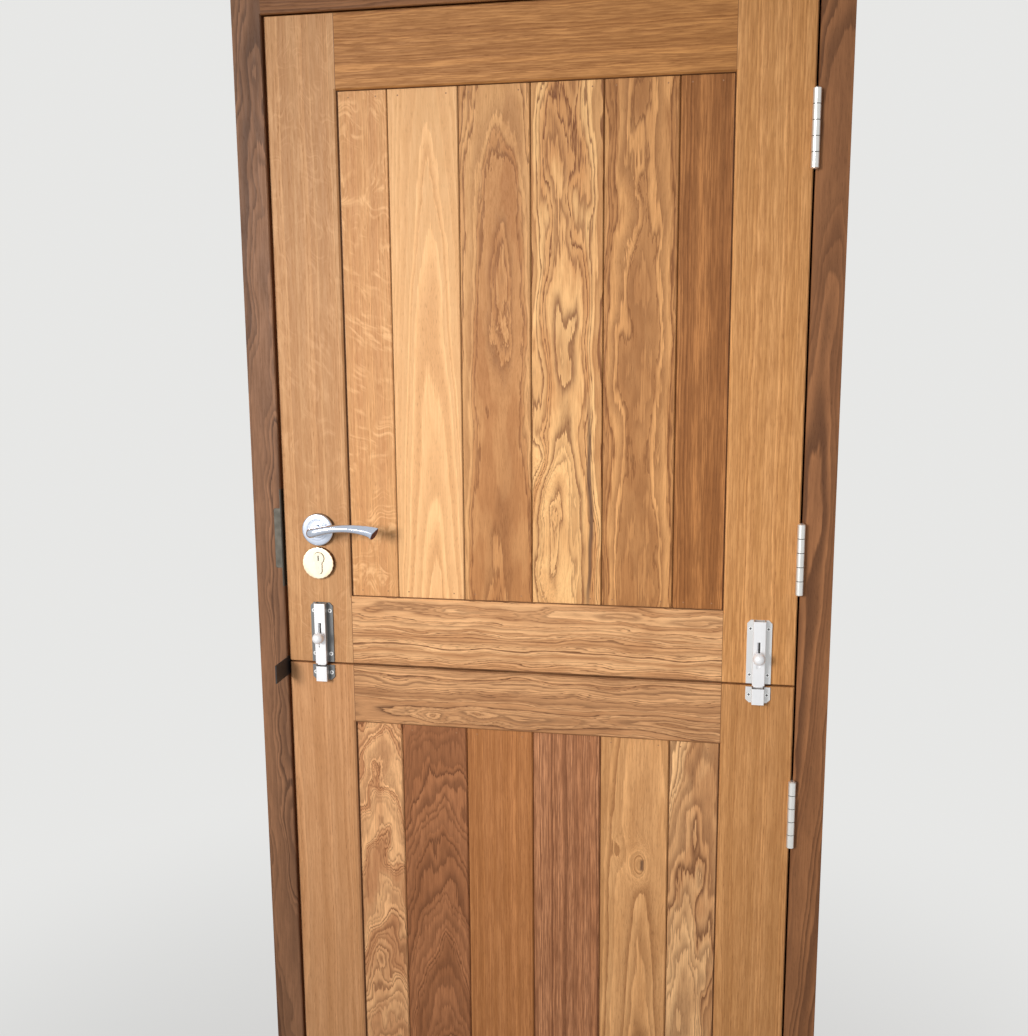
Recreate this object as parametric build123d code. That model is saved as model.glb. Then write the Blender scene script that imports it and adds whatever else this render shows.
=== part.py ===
from build123d import *
from math import cos, pi, radians, sin
import os

# A stable door in two leaves, hung in an oak frame. Millimetres.
# X runs from the lock side to the hinge side, Y into the room behind the door, Z up.
# The origin is the middle of the sill's underside.

# Leaves
leaf_width = 762.0
upper_leaf_height = 943.0
lower_leaf_height = 1035.0
leaf_thickness = 44.0
stile_face = 103.0
top_rail_face = 104.0
upper_meeting_rail_face = 106.0
lower_meeting_rail_face = 92.0
bottom_rail_face = 200.0
ledge = 15.0
edge_bevel = 3.0
leaf_arris = 1.0
tenon_length = 60.0
tenon_thickness = 12.0
tenon_shoulder = 15.0
glue_gap = 0.2

# Boards
board_count = 6
board_cover = 102.5
board_thickness = 20.0
board_recess = 5.0
board_joint_gap = 0.4
board_edge_gap = 0.6
upper_joint_bevel = 1.4
lower_joint_bevel = 2.0
tongue_thickness = 6.0
tongue_length = 6.0
tongue_side_gap = 0.2
tongue_end_gap = 0.8
pin_radius = 1.1
pin_length = 26.0
pin_from_board_end = 9.0
pin_from_board_edge = 16.0

# Gaps round the leaves
gap_hinge_side = 3.0
gap_lock_side = 5.0
gap_top = 3.0
gap_between_leaves = 3.0
gap_sill = 5.0
gap_behind_leaf = 2.0

# Frame
frame_face = 44.0
frame_depth = 94.0
frame_stop = 13.0
sill_height = 45.0
frame_arris = 1.5
frame_tenon_length = 28.0
frame_tenon_thickness = 24.0
frame_tenon_inset = 11.0
fixing_hole_radius = 4.0
fixing_from_end = 240.0
fixing_spacing = 520.0

# Butt hinges
hinge_height = 100.0
hinge_leaf_depth = 35.0
hinge_leaf_thickness = 2.5
hinge_leaf_from_pin_plane = 0.5
knuckle_radius = 5.5
knuckle_count = 5
knuckle_gap = 1.0
knuckle_standoff = 0.4
knuckle_swing_clearance = 0.5
hinge_pin_radius = 3.0
hinge_pin_running_gap = 0.05
hinge_pin_tip = 1.6
washer_radius = 4.9
washer_thickness = 0.8
upper_hinge_from_top = 180.0
upper_hinge_from_bottom = 185.0
lower_hinge_from_top = 190.0
lower_hinge_from_bottom = 190.0

# Screws: head radius, shank radius and length of each kind
hinge_screw = (4.2, 2.1, 30.0)
plate_screw = (3.8, 1.9, 22.0)
bolt_screw = (3.2, 1.6, 16.0)
screw_hole_gap = 0.1
screw_recess_width = 1.0
screw_recess_share = 1.2
screw_recess_depth = 1.3

# Lock
lock_backset = 55.0
spindle_above_split = 210.0
cylinder_below_spindle = 43.5
case_thickness = 15.0
case_wall = 1.2
case_depth = 76.0
case_above_spindle = 38.0
case_below_cylinder = 38.0
case_gap = 0.5
forend_width = 22.0
forend_thickness = 3.0
forend_overhang = 22.0
spindle_side = 8.0
spindle_gap = 0.1
follower_radius = 11.0
follower_boss_radius = 8.9
follower_running_gap = 0.1
latch_height = 22.0
latch_throw = 11.0
dead_bolt_height = 28.0
dead_bolt_throw = 20.0
lock_bolt_thickness = 12.0
lock_bolt_gap = 0.3
lock_bolt_setback = 0.5
dead_bolt_length = 34.0
latch_length = 27.0
tail_thickness = 4.0

# Cylinder
profile_radius = 8.5
profile_leg_width = 10.0
profile_below_centre = 24.5
cylinder_proud = 2.0
plug_radius = 6.3
plug_running_gap = 0.05
cam_width = 10.0
cam_side_gap = 0.3
cam_reach = 15.5
cam_lobe_width = 7.0
cam_bridge_gap = 1.5
keyway_width = 1.8
keyway_height = 8.0
keyway_depth = 24.0
cylinder_screw_radius = 2.4

# Strike
strike_thickness = 2.0
strike_height = 150.0
strike_width = 34.0
strike_lip_height = 92.0
strike_lip_width = 12.0
strike_lip_corner = 3.0
strike_above_split = 194.0
strike_hole_gap = 1.5
strike_pocket_gap = 2.0
strike_screw_from_end = 10.0

# Handles
rose_radius = 24.5
rose_thickness = 9.0
rose_edge = 2.5
rose_collar_radius = 12.0
rose_collar_height = 1.2
neck_radius = 7.5
neck_gap = 0.6
lever_projection = 42.0
lever_bend = 10.0
lever_reach = 105.0
lever_rise = 9.5
lever_apex = 57.0
lever_root_height = 7.2
lever_waist_height = 5.6
lever_waist_at = 48.0
lever_tip_height = 9.2
lever_tip_thickness = 4.6
grip_section_count = 6
bend_section_count = 4
oval_point_count = 12
socket_depth = 26.0
escutcheon_radius = 24.5
escutcheon_thickness = 7.0
escutcheon_offset = 1.5
escutcheon_below_cylinder = 8.0

# Surface bolts
bolt_base_width = 35.0
bolt_base_height = 94.0
bolt_base_above_split = 2.5
bolt_base_corner = 5.0
bolt_plate = 2.0
channel_width = 17.5
channel_height = 13.0
channel_wall = 1.5
channel_round = 1.0
rod_gap = 0.35
rod_length = 73.0
rod_tip_above_split = -1.2
rod_tip_bevel = 1.2
bolt_withdraw = 19.0
bolt_shoot = 14.0
knob_above_split = 44.7
knob_radius = 8.7
knob_from_channel = 9.4
knob_stem_radius = 2.5
knob_slot_gap = 0.4
keep_height = 23.5
keep_below_split = 2.5
bolt_screw_from_middle = 12.7
bolt_screw_from_end = 13.0
left_bolt_from_edge = 55.0
right_bolt_from_edge = 51.0

# Dark packer plate in the gap beside the lock
packer_thickness = 2.0
packer_height = 28.0
packer_top_above_split = 6.5
packer_stands_out = 49.0

# Planes and places worked out from the sizes above
opening_half = (leaf_width + gap_hinge_side + gap_lock_side) / 2
frame_half = opening_half + frame_face
stop_half = opening_half - frame_stop
leaf_left = -opening_half + gap_lock_side
leaf_right = opening_half - gap_hinge_side
frame_front = -frame_depth / 2
frame_back = frame_depth / 2
leaf_front = frame_front
leaf_back = leaf_front + leaf_thickness
leaf_middle = leaf_front + leaf_thickness / 2
stop_front = leaf_back + gap_behind_leaf
board_front = leaf_front + board_recess
board_back = board_front + board_thickness
lower_leaf_bottom = sill_height + gap_sill
lower_leaf_top = lower_leaf_bottom + lower_leaf_height
split = lower_leaf_top + gap_between_leaves / 2
upper_leaf_bottom = lower_leaf_top + gap_between_leaves
upper_leaf_top = upper_leaf_bottom + upper_leaf_height
head_bottom = upper_leaf_top + gap_top
frame_top = head_bottom + frame_face
pin_x = opening_half - gap_hinge_side / 2
pin_y = leaf_front - knuckle_radius - knuckle_standoff
knuckle_length = (hinge_height - (knuckle_count - 1) * knuckle_gap) / knuckle_count
spindle_x = leaf_left + lock_backset
spindle_z = split + spindle_above_split
cylinder_z = spindle_z - cylinder_below_spindle
escutcheon_z = cylinder_z - escutcheon_below_cylinder
strike_z = split + strike_above_split
case_left = leaf_left + forend_thickness
case_right = leaf_left + case_depth + forend_thickness
case_bottom = cylinder_z - case_below_cylinder
case_top = spindle_z + case_above_spindle
bridge_z = cylinder_z - (profile_below_centre + cam_reach + cam_bridge_gap) / 2
overshoot = 1.0


# General shapes

def block(x_low, x_high, y_low, y_high, z_low, z_high):
    """A box between two corners."""
    middle = ((x_low + x_high) / 2, (y_low + y_high) / 2, (z_low + z_high) / 2)
    return Pos(*middle) * Box(x_high - x_low, y_high - y_low, z_high - z_low)


def bar(radius, start, end):
    """A round bar from one point to another."""
    along = Vector(*end) - Vector(*start)
    lie = Plane(origin=start, z_dir=along)
    return lie * Cylinder(radius, along.length, align=(Align.CENTER, Align.CENTER, Align.MIN))


def front_plane(x, z):
    """The front face of the leaves at a point, with local z standing out towards the viewer."""
    return Plane(origin=(x, leaf_front, z), x_dir=(1, 0, 0), z_dir=(0, -1, 0))


def to_back(shape):
    """The same piece on the other face of the leaf."""
    return mirror(shape, about=Plane(origin=(0, leaf_middle, 0), z_dir=(0, 1, 0)))


def screw_shape(size, widen=0.0):
    """A countersunk screw from its head face down +Z, or the hole it goes in when widened."""
    head_radius, shank_radius, length = size
    cone_depth = head_radius - shank_radius
    low = (Align.CENTER, Align.CENTER, Align.MIN)
    shape = Cone(head_radius + widen, shank_radius + widen, cone_depth, align=low)
    shape += Cylinder(shank_radius + widen, length + widen, align=low)
    if widen:
        high = (Align.CENTER, Align.CENTER, Align.MAX)
        return shape + Cylinder(head_radius + widen, overshoot, align=high)
    recess = Box(screw_recess_share * head_radius, screw_recess_width, 2 * screw_recess_depth)
    return shape - recess - Rot(0, 0, 90) * recess


def screws(size, spots, direction):
    """Screws at each spot, driven along direction, and the holes they need."""
    solid, hole = screw_shape(size), screw_shape(size, screw_hole_gap)
    places = [Plane(origin=spot, z_dir=direction) for spot in spots]
    return [place * solid for place in places], [place * hole for place in places]


def group(solids):
    """Separate solids kept in one node."""
    return Compound(children=list(solids))


# Frame

def bevel_cut(x_low, x_high, z_low, z_high, depth):
    """A frustum that bevels the front edges round a rectangle in the front face."""
    width, height = x_high - x_low, z_high - z_low
    grow = 2 * (depth + overshoot)
    middle = ((x_low + x_high) / 2, (z_low + z_high) / 2)
    outside = Plane(origin=(middle[0], leaf_front - overshoot, middle[1]), x_dir=(1, 0, 0), z_dir=(0, 1, 0))
    inside = outside.offset(depth + overshoot)
    return loft([outside * Rectangle(width + grow, height + grow), inside * Rectangle(width, height)])


def opening_bevel():
    """The eased front edge of the frame all round its opening."""
    return bevel_cut(-opening_half, opening_half, sill_height, head_bottom, frame_arris)


def jamb(side):
    """One jamb, tenoned into the sill; side is -1 at the lock and 1 at the hinges."""
    inner, outer = side * opening_half, side * frame_half
    post = block(*sorted((inner, outer)), frame_front, frame_back, sill_height, frame_top)
    tenon_low = sill_height - frame_tenon_length
    post += block(*frame_tenon_span(side), *frame_tenon_depth(), tenon_low, sill_height)
    return post - fixing_holes(side) - head_tenon(side, glue_gap) - opening_bevel()


def frame_stops():
    """The strips planted round the inside of the frame, which the leaves close against."""
    strips = []
    for side in (-1, 1):
        span = sorted((side * stop_half, side * opening_half))
        strips.append(block(*span, stop_front, frame_back, sill_height, head_bottom) - fixing_holes(side))
    strips.append(block(-stop_half, stop_half, stop_front, frame_back, head_bottom - frame_stop, head_bottom))
    return group(strips)


def fixing_holes(side):
    """The holes for the wall fixings through one jamb and its stop."""
    near, far = side * (stop_half - overshoot), side * (frame_half + overshoot)
    return [bar(fixing_hole_radius, (near, fixing_y(), z), (far, fixing_y(), z)) for z in fixing_heights()]


def frame_tenon_span(side):
    """Low and high x of a jamb's tenon."""
    return sorted((side * (opening_half + frame_tenon_inset), side * (frame_half - frame_tenon_inset)))


def frame_tenon_depth():
    """Low and high y of the frame's tenons."""
    return -frame_tenon_thickness / 2, frame_tenon_thickness / 2


def fixing_heights():
    """Heights of the wall fixings, two near the ends of a jamb and two between them."""
    middle = (sill_height + frame_top) / 2
    outer_half = (frame_top - sill_height) / 2 - fixing_from_end
    inner_half = outer_half - fixing_spacing
    return [middle - outer_half, middle - inner_half, middle + inner_half, middle + outer_half]


def fixing_y():
    """The wall fixings run through the middle of the stop."""
    return (stop_front + frame_back) / 2


def head_tenon(side, gap=0.0):
    """The head's tenon in one jamb, or its mortice when a gap is given."""
    x = sorted((side * (opening_half - gap), side * (opening_half + frame_tenon_length + gap)))
    y_low, y_high = frame_tenon_depth()
    return block(*x, y_low - gap, y_high + gap,
                 head_bottom + frame_tenon_inset - gap, frame_top - frame_tenon_inset + gap)


def head():
    """The head between the jambs, with its tenons."""
    piece = block(-opening_half, opening_half, frame_front, frame_back, head_bottom, frame_top)
    return piece + head_tenon(-1) + head_tenon(1) - opening_bevel()


def sill():
    """The sill under both jambs, morticed for them."""
    piece = block(-frame_half, frame_half, frame_front, frame_back, 0, sill_height) - opening_bevel()
    y_low, y_high = frame_tenon_depth()
    for side in (-1, 1):
        x_low, x_high = frame_tenon_span(side)
        piece -= block(x_low - glue_gap, x_high + glue_gap, y_low - glue_gap, y_high + glue_gap,
                       sill_height - frame_tenon_length - glue_gap, sill_height + overshoot)
    return piece


# Leaf frames and boards

def panel_bevel(z_low, z_high):
    """The bevel round the front edge of a panel, as the frustum that cuts it."""
    return bevel_cut(leaf_left + stile_face, leaf_right - stile_face, z_low, z_high, edge_bevel)


def leaf_outside(z_low, z_high):
    """The whole leaf as a slab with eased arrises, which its stiles and rails are kept within."""
    slab = block(leaf_left, leaf_right, leaf_front, leaf_back, z_low, z_high)
    return chamfer(slab.edges().filter_by(Axis.Y, reverse=True), leaf_arris)


def stile(side, z_low, z_high):
    """One stile with the ledge that backs the boards; side is -1 at the lock."""
    edge = leaf_left if side < 0 else leaf_right
    face = sorted((edge, edge - side * stile_face))
    shelf = sorted((edge - side * stile_face, edge - side * (stile_face + ledge)))
    return (block(*face, leaf_front, leaf_back, z_low, z_high)
            + block(*shelf, board_back, leaf_back, z_low, z_high))


def rail_tenon(side, z_low, z_high, gap=0.0):
    """A rail's tenon in one stile, or its mortice when a gap is given."""
    edge = leaf_left if side < 0 else leaf_right
    shoulder = edge - side * (stile_face + ledge)
    x = sorted((shoulder - side * gap, shoulder + side * (tenon_length + gap)))
    middle = (board_back + leaf_back) / 2
    half = tenon_thickness / 2 + gap
    return block(*x, middle - half, middle + half,
                 z_low + tenon_shoulder - gap, z_high - tenon_shoulder + gap)


def rail(z_low, z_high, ledge_low, ledge_high):
    """A rail between the stiles, with a ledge below or above it to back the boards."""
    piece = block(leaf_left + stile_face, leaf_right - stile_face, leaf_front, board_back, z_low, z_high)
    piece += block(leaf_left + stile_face + ledge, leaf_right - stile_face - ledge,
                   board_back, leaf_back, z_low - ledge_low, z_high + ledge_high)
    return piece + rail_tenon(-1, z_low, z_high) + rail_tenon(1, z_low, z_high)


def board_limits():
    """Left and right x of each board: whole boards in the middle, two cut ones at the sides."""
    low = leaf_left + stile_face + board_edge_gap
    high = leaf_right - stile_face - board_edge_gap
    inner = board_count - 2
    start = (low + high - inner * board_cover) / 2
    joints = [start + i * board_cover for i in range(inner + 1)]
    lefts = [low] + [joint + board_joint_gap / 2 for joint in joints]
    rights = [joint - board_joint_gap / 2 for joint in joints] + [high]
    return list(zip(lefts, rights))


def board(index, z_low, z_high, bevel):
    """One board: beveled joints at the front, a tongue on its right and a groove on its left."""
    left, right = board_limits()[index]
    has_groove, has_tongue = index > 0, index < board_count - 1
    middle = (board_front + board_back) / 2
    tongue = tongue_thickness / 2
    groove = tongue + tongue_side_gap
    groove_depth = tongue_length - board_joint_gap + tongue_end_gap
    left_bevel = bevel if has_groove else 0
    right_bevel = bevel if has_tongue else 0
    outline = [(left + left_bevel, board_front), (right - right_bevel, board_front)]
    if has_tongue:
        outline += [(right, board_front + bevel), (right, middle - tongue),
                    (right + tongue_length, middle - tongue), (right + tongue_length, middle + tongue),
                    (right, middle + tongue)]
    outline += [(right, board_back), (left, board_back)]
    if has_groove:
        outline += [(left, middle + groove), (left + groove_depth, middle + groove),
                    (left + groove_depth, middle - groove), (left, middle - groove),
                    (left, board_front + bevel)]
    section = make_face(Polyline(*outline, close=True))
    return extrude(Pos(0, 0, z_low) * section, amount=z_high - z_low)


def board_pin_spots(z_low, z_high):
    """Where the small pins hold the boards to the ledges."""
    spots = []
    for left, right in board_limits():
        for x in (left + pin_from_board_edge, right - pin_from_board_edge):
            spots += [(x, z_low + pin_from_board_end), (x, z_high - pin_from_board_end)]
    return spots


def make_leaf(name, z_low, z_high, low_rail_face, high_rail_face, low_rail, high_rail, bevel):
    """The wooden pieces of one leaf and the pins in its boards."""
    panel_low, panel_high = z_low + low_rail_face, z_high - high_rail_face
    cut = panel_bevel(panel_low, panel_high)
    outside = leaf_outside(z_low, z_high)
    low = (z_low, panel_low)
    high = (panel_high, z_high)
    spots = board_pin_spots(panel_low, panel_high)
    pins = [bar(pin_radius, (x, board_front, z), (x, board_front + pin_length, z)) for x, z in spots]
    pieces = {}
    for side, label in ((-1, "lock"), (1, "hinge")):
        mortices = [rail_tenon(side, *span, glue_gap) for span in (low, high)]
        pieces[f"{name}_{label}_stile"] = (stile(side, z_low, z_high) & outside) - mortices - cut
    low_pins = [pin for pin, (x, z) in zip(pins, spots) if z < (panel_low + panel_high) / 2]
    high_pins = [pin for pin in pins if pin not in low_pins]
    pieces[low_rail] = (rail(*low, 0, ledge) & outside) - cut - low_pins
    pieces[high_rail] = (rail(*high, ledge, 0) & outside) - cut - high_pins
    for i in range(board_count):
        plank = board(i, panel_low + board_edge_gap, panel_high - board_edge_gap, bevel)
        near = pins[4 * i:4 * i + 4]
        pieces[f"{name}_board_{i + 1}"] = plank - near
    pieces[f"{name}_board_pins"] = group(pins)
    return pieces


# Hinges

def hinge_centres():
    """Middle height of each hinge, from the top down."""
    return [upper_leaf_top - upper_hinge_from_top, upper_leaf_bottom + upper_hinge_from_bottom,
            lower_leaf_top - lower_hinge_from_top, lower_leaf_bottom + lower_hinge_from_bottom]


def knuckle_spans(z_middle):
    """Low and high z of each knuckle of one hinge."""
    low = z_middle - hinge_height / 2
    step = knuckle_length + knuckle_gap
    return [(low + i * step, low + i * step + knuckle_length) for i in range(knuckle_count)]


def hinge_leaf_x(side):
    """Low and high x of a hinge leaf's plate; side is 1 on the frame and -1 on the door."""
    near = pin_x + side * hinge_leaf_from_pin_plane
    return sorted((near, near + side * hinge_leaf_thickness))


def hinge_leaf(side, z_middle):
    """One leaf of a butt hinge with its own knuckles; the frame has the outer knuckles."""
    low, high = z_middle - hinge_height / 2, z_middle + hinge_height / 2
    piece = block(*hinge_leaf_x(side), pin_y, pin_y + hinge_leaf_depth, low, high)
    spans = knuckle_spans(z_middle)
    own, other = (spans[0::2], spans[1::2]) if side > 0 else (spans[1::2], spans[0::2])
    swing = knuckle_radius + knuckle_swing_clearance
    for z_low, z_high in other:
        piece -= bar(swing, (pin_x, pin_y, z_low - knuckle_gap), (pin_x, pin_y, z_high + knuckle_gap))
    for z_low, z_high in own:
        piece += bar(knuckle_radius, (pin_x, pin_y, z_low), (pin_x, pin_y, z_high))
    bore = hinge_pin_radius + hinge_pin_running_gap
    return piece - bar(bore, (pin_x, pin_y, low - overshoot), (pin_x, pin_y, high + overshoot))


def hinge_recess(side, z_middle):
    """The shallow cut in the wood that takes a hinge leaf."""
    x_low, x_high = hinge_leaf_x(side)
    return block(x_low, x_high, leaf_front - overshoot, pin_y + hinge_leaf_depth,
                 z_middle - hinge_height / 2, z_middle + hinge_height / 2)


def hinge_screws(side, z_middle):
    """Four screws through a hinge leaf, in two staggered columns, and their holes."""
    face = pin_x + side * hinge_leaf_from_pin_plane
    front = leaf_front + hinge_screw[0] + 2 * hinge_leaf_thickness
    rear = pin_y + hinge_leaf_depth - hinge_screw[0] - hinge_leaf_thickness
    heights = [z_middle + (i - 1.5) * hinge_height / 4 for i in range(4)]
    spots = [(face, (front, rear)[i % 2], z) for i, z in enumerate(heights)]
    return screws(hinge_screw, spots, (side, 0, 0))


def hinge_pin(z_middle):
    """A hinge pin that runs the hinge's height, with a shallow button at each end."""
    low, high = z_middle - hinge_height / 2, z_middle + hinge_height / 2
    pin = bar(hinge_pin_radius, (pin_x, pin_y, low), (pin_x, pin_y, high))
    low_end = (Align.CENTER, Align.CENTER, Align.MIN)
    button = Cone(knuckle_radius, hinge_pin_radius, hinge_pin_tip, align=low_end)
    top = Pos(pin_x, pin_y, high) * button
    bottom = Pos(pin_x, pin_y, low) * Rot(180, 0, 0) * button
    return pin + top + bottom


def hinge_washers(z_middle):
    """A thin bearing ring in each gap, on the frame's knuckle."""
    rings = []
    bore = hinge_pin_radius + hinge_pin_running_gap
    for i, (z_low, z_high) in enumerate(knuckle_spans(z_middle)[:-1]):
        start = z_high if i % 2 == 0 else z_high + knuckle_gap - washer_thickness
        end = start + washer_thickness
        ring = bar(washer_radius, (pin_x, pin_y, start), (pin_x, pin_y, end))
        rings.append(ring - bar(bore, (pin_x, pin_y, start - overshoot), (pin_x, pin_y, end + overshoot)))
    return rings


# Lock

def profile(radius_gap=0.0):
    """The euro profile in the leaf's plane, its round part at the origin."""
    leg_half = profile_leg_width / 2 + radius_gap
    leg_low = -profile_below_centre + profile_leg_width / 2
    round_part = Circle(profile_radius + radius_gap)
    leg = Pos(0, leg_low / 2) * Rectangle(2 * leg_half, -leg_low)
    foot = Pos(0, leg_low) * Circle(leg_half)
    return round_part + leg + foot


def profile_bar(y_low, y_high, gap=0.0):
    """The profile carried through the leaf from one depth to another."""
    start = Plane(origin=(spindle_x, y_high, cylinder_z), x_dir=(1, 0, 0), z_dir=(0, -1, 0))
    return extrude(start * profile(gap), amount=y_high - y_low)


def cylinder_ends():
    """Low and high y of the key cylinder, just proud of the escutcheons."""
    out = escutcheon_thickness + cylinder_proud
    return leaf_front - out, leaf_back + out


def lock_cylinder():
    """The cylinder's body, bored for its plug and cut open in the middle for the cam."""
    y_low, y_high = cylinder_ends()
    piece = profile_bar(y_low, y_high)
    piece -= bar(plug_radius + plug_running_gap, (spindle_x, y_low - overshoot, cylinder_z),
                 (spindle_x, y_high + overshoot, cylinder_z))
    half = cam_width / 2 + cam_side_gap
    floor = cylinder_z - cam_reach - cam_bridge_gap
    side = profile_radius + overshoot
    piece -= block(spindle_x - side, spindle_x + side, leaf_middle - half, leaf_middle + half,
                   floor, cylinder_z + side)
    return piece - cylinder_screw_hole()


def cylinder_plug():
    """The plug that the key turns, with the cam at its middle and a keyway in each end."""
    y_low, y_high = cylinder_ends()
    piece = bar(plug_radius, (spindle_x, y_low, cylinder_z), (spindle_x, y_high, cylinder_z))
    cam_y = (leaf_middle - cam_width / 2, leaf_middle + cam_width / 2)
    piece += bar(profile_radius, (spindle_x, cam_y[0], cylinder_z), (spindle_x, cam_y[1], cylinder_z))
    lobe_centre = cylinder_z - cam_reach + cam_lobe_width / 2
    piece += bar(cam_lobe_width / 2, (spindle_x, cam_y[0], lobe_centre), (spindle_x, cam_y[1], lobe_centre))
    half = cam_lobe_width / 2
    piece += block(spindle_x - half, spindle_x + half, *cam_y, lobe_centre, cylinder_z)
    for y, inward in ((y_low, 1), (y_high, -1)):
        span = sorted((y - inward * overshoot, y + inward * keyway_depth))
        piece -= block(spindle_x - keyway_width / 2, spindle_x + keyway_width / 2, *span,
                       cylinder_z - keyway_height / 2, cylinder_z + keyway_height / 2)
    return piece


def cylinder_screw():
    """The long screw from the forend into the bridge of the cylinder."""
    end = spindle_x + profile_leg_width / 4
    return bar(cylinder_screw_radius, (leaf_left, leaf_middle, bridge_z), (end, leaf_middle, bridge_z))


def cylinder_screw_hole():
    """The hole for the cylinder's screw, from the edge of the leaf."""
    end = spindle_x + profile_leg_width / 4 + screw_hole_gap
    return bar(cylinder_screw_radius + screw_hole_gap, (leaf_left - overshoot, leaf_middle, bridge_z),
               (end, leaf_middle, bridge_z))


def latch_bolt():
    """The latch, drawn back, its bevel towards the closing side, with a tail to the follower."""
    half, tip = lock_bolt_thickness / 2, leaf_left + lock_bolt_setback
    low, high = spindle_z - latch_height / 2, spindle_z + latch_height / 2
    back = tip + latch_length
    piece = block(tip, back, leaf_middle - half, leaf_middle + half, low, high)
    wedge = Polyline((tip - overshoot, leaf_middle - half + 2 * lock_bolt_setback),
                     (tip - overshoot, leaf_middle + half + overshoot),
                     (tip + lock_bolt_thickness, leaf_middle + half + overshoot), close=True)
    piece -= extrude(Pos(0, 0, low - overshoot) * make_face(wedge), amount=latch_height + 2 * overshoot)
    tail_end = spindle_x - follower_radius - 2 * lock_bolt_gap
    return piece + block(back, tail_end, leaf_middle - tail_thickness / 2, leaf_middle + tail_thickness / 2,
                         spindle_z - tail_thickness, spindle_z + tail_thickness)


def dead_bolt():
    """The dead bolt, drawn back, with a tail that passes over the cylinder's cam."""
    half, tip = lock_bolt_thickness / 2, leaf_left + lock_bolt_setback
    low, high = cylinder_z - dead_bolt_height / 2, cylinder_z + dead_bolt_height / 2
    back = tip + dead_bolt_length
    piece = block(tip, back, leaf_middle - half, leaf_middle + half, low, high)
    tail_low = cylinder_z + cam_reach + cam_bridge_gap
    tail_high = spindle_z - follower_radius - cam_bridge_gap
    rise = case_left + case_wall + dead_bolt_throw + lock_bolt_gap
    tail_y = (leaf_middle - tail_thickness / 2, leaf_middle + tail_thickness / 2)
    piece += block(rise, back, *tail_y, cylinder_z, tail_high)
    return piece + block(rise, spindle_x + follower_radius, *tail_y, tail_low, tail_high)


def bolt_passage(z_middle, height, reach, gap):
    """The space that a lock bolt slides through, from inside the case's front to past the leaf's edge."""
    half = lock_bolt_thickness / 2 + gap
    return block(leaf_left - reach, case_left + 2 * case_wall, leaf_middle - half, leaf_middle + half,
                 z_middle - height / 2 - gap, z_middle + height / 2 + gap)


def lock_case():
    """The case and its forend: a thin box open only for the bolts, the follower and the cylinder."""
    half = case_thickness / 2
    inner = half - case_wall
    shell = block(case_left, case_right, leaf_middle - half, leaf_middle + half, case_bottom, case_top)
    shell -= block(case_left + case_wall, case_right - case_wall, leaf_middle - inner, leaf_middle + inner,
                   case_bottom + case_wall, case_top - case_wall)
    shell += forend()
    shell -= bolt_passage(spindle_z, latch_height, overshoot, lock_bolt_gap)
    shell -= bolt_passage(cylinder_z, dead_bolt_height, overshoot, lock_bolt_gap)
    shell -= profile_bar(leaf_middle - half - overshoot, leaf_middle + half + overshoot, glue_gap)
    boss = follower_boss_radius + follower_running_gap
    shell -= bar(boss, (spindle_x, leaf_front, spindle_z), (spindle_x, leaf_back, spindle_z))
    return shell - forend_screws()[1] - cylinder_screw_hole()


def forend(gap=0.0):
    """The forend plate on the leaf's edge, or its recess when a gap is given."""
    low, high = case_bottom - forend_overhang, case_top + forend_overhang
    half = forend_width / 2 + gap
    return block(leaf_left - (overshoot if gap else 0), leaf_left + forend_thickness,
                 leaf_middle - half, leaf_middle + half, low - gap, high + gap)


def forend_screws():
    """Two screws through the ends of the forend, and their holes."""
    inset = forend_overhang / 2
    spots = [(leaf_left, leaf_middle, case_bottom - inset), (leaf_left, leaf_middle, case_top + inset)]
    return screws(plate_screw, spots, (1, 0, 0))


def lock_cuts():
    """What the lock needs cut out of the stile."""
    half = case_thickness / 2 + case_gap
    mortice = block(leaf_left - overshoot, case_right + case_gap, leaf_middle - half, leaf_middle + half,
                    case_bottom - case_gap, case_top + case_gap)
    through = (leaf_front - overshoot, leaf_back + overshoot)
    neck = neck_radius + neck_gap + case_gap
    spindle_hole = bar(neck, (spindle_x, through[0], spindle_z), (spindle_x, through[1], spindle_z))
    return [mortice, forend(glue_gap), spindle_hole, profile_bar(*through, case_gap)] + forend_screws()[1]


def follower():
    """The follower in the case: a hub with a square hole, turned by the spindle."""
    inner_half = case_thickness / 2 - case_wall - lock_bolt_gap
    half = case_thickness / 2
    hub = bar(follower_radius, (spindle_x, leaf_middle - inner_half, spindle_z),
              (spindle_x, leaf_middle + inner_half, spindle_z))
    hub += bar(follower_boss_radius, (spindle_x, leaf_middle - half, spindle_z),
               (spindle_x, leaf_middle + half, spindle_z))
    return hub - spindle(spindle_gap)


def spindle(gap=0.0):
    """The square spindle through the lock, or its hole when a gap is given."""
    half = spindle_side / 2 + gap
    reach = socket_depth + gap
    return block(spindle_x - half, spindle_x + half, leaf_front - reach, leaf_back + reach,
                 spindle_z - half, spindle_z + half)


# Handles and escutcheons

def lever_middle(x):
    """Height of the lever's centre line above the spindle: a shallow parabola."""
    return lever_rise * (1 - ((x - lever_apex) / lever_apex) ** 2)


def lever_half_height(x):
    """Half the lever's height: widest at the tip, narrowest at the waist."""
    if x < lever_waist_at:
        share = (lever_waist_at - x) / lever_waist_at
        return lever_waist_height + (lever_root_height - lever_waist_height) * share ** 2
    share = (x - lever_waist_at) / (lever_reach - lever_waist_at)
    return lever_waist_height + (lever_tip_height - lever_waist_height) * share ** 2


def lever_slope(x):
    """Slope of the lever's centre line."""
    return 2 * lever_rise * (lever_apex - x) / lever_apex ** 2


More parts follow.
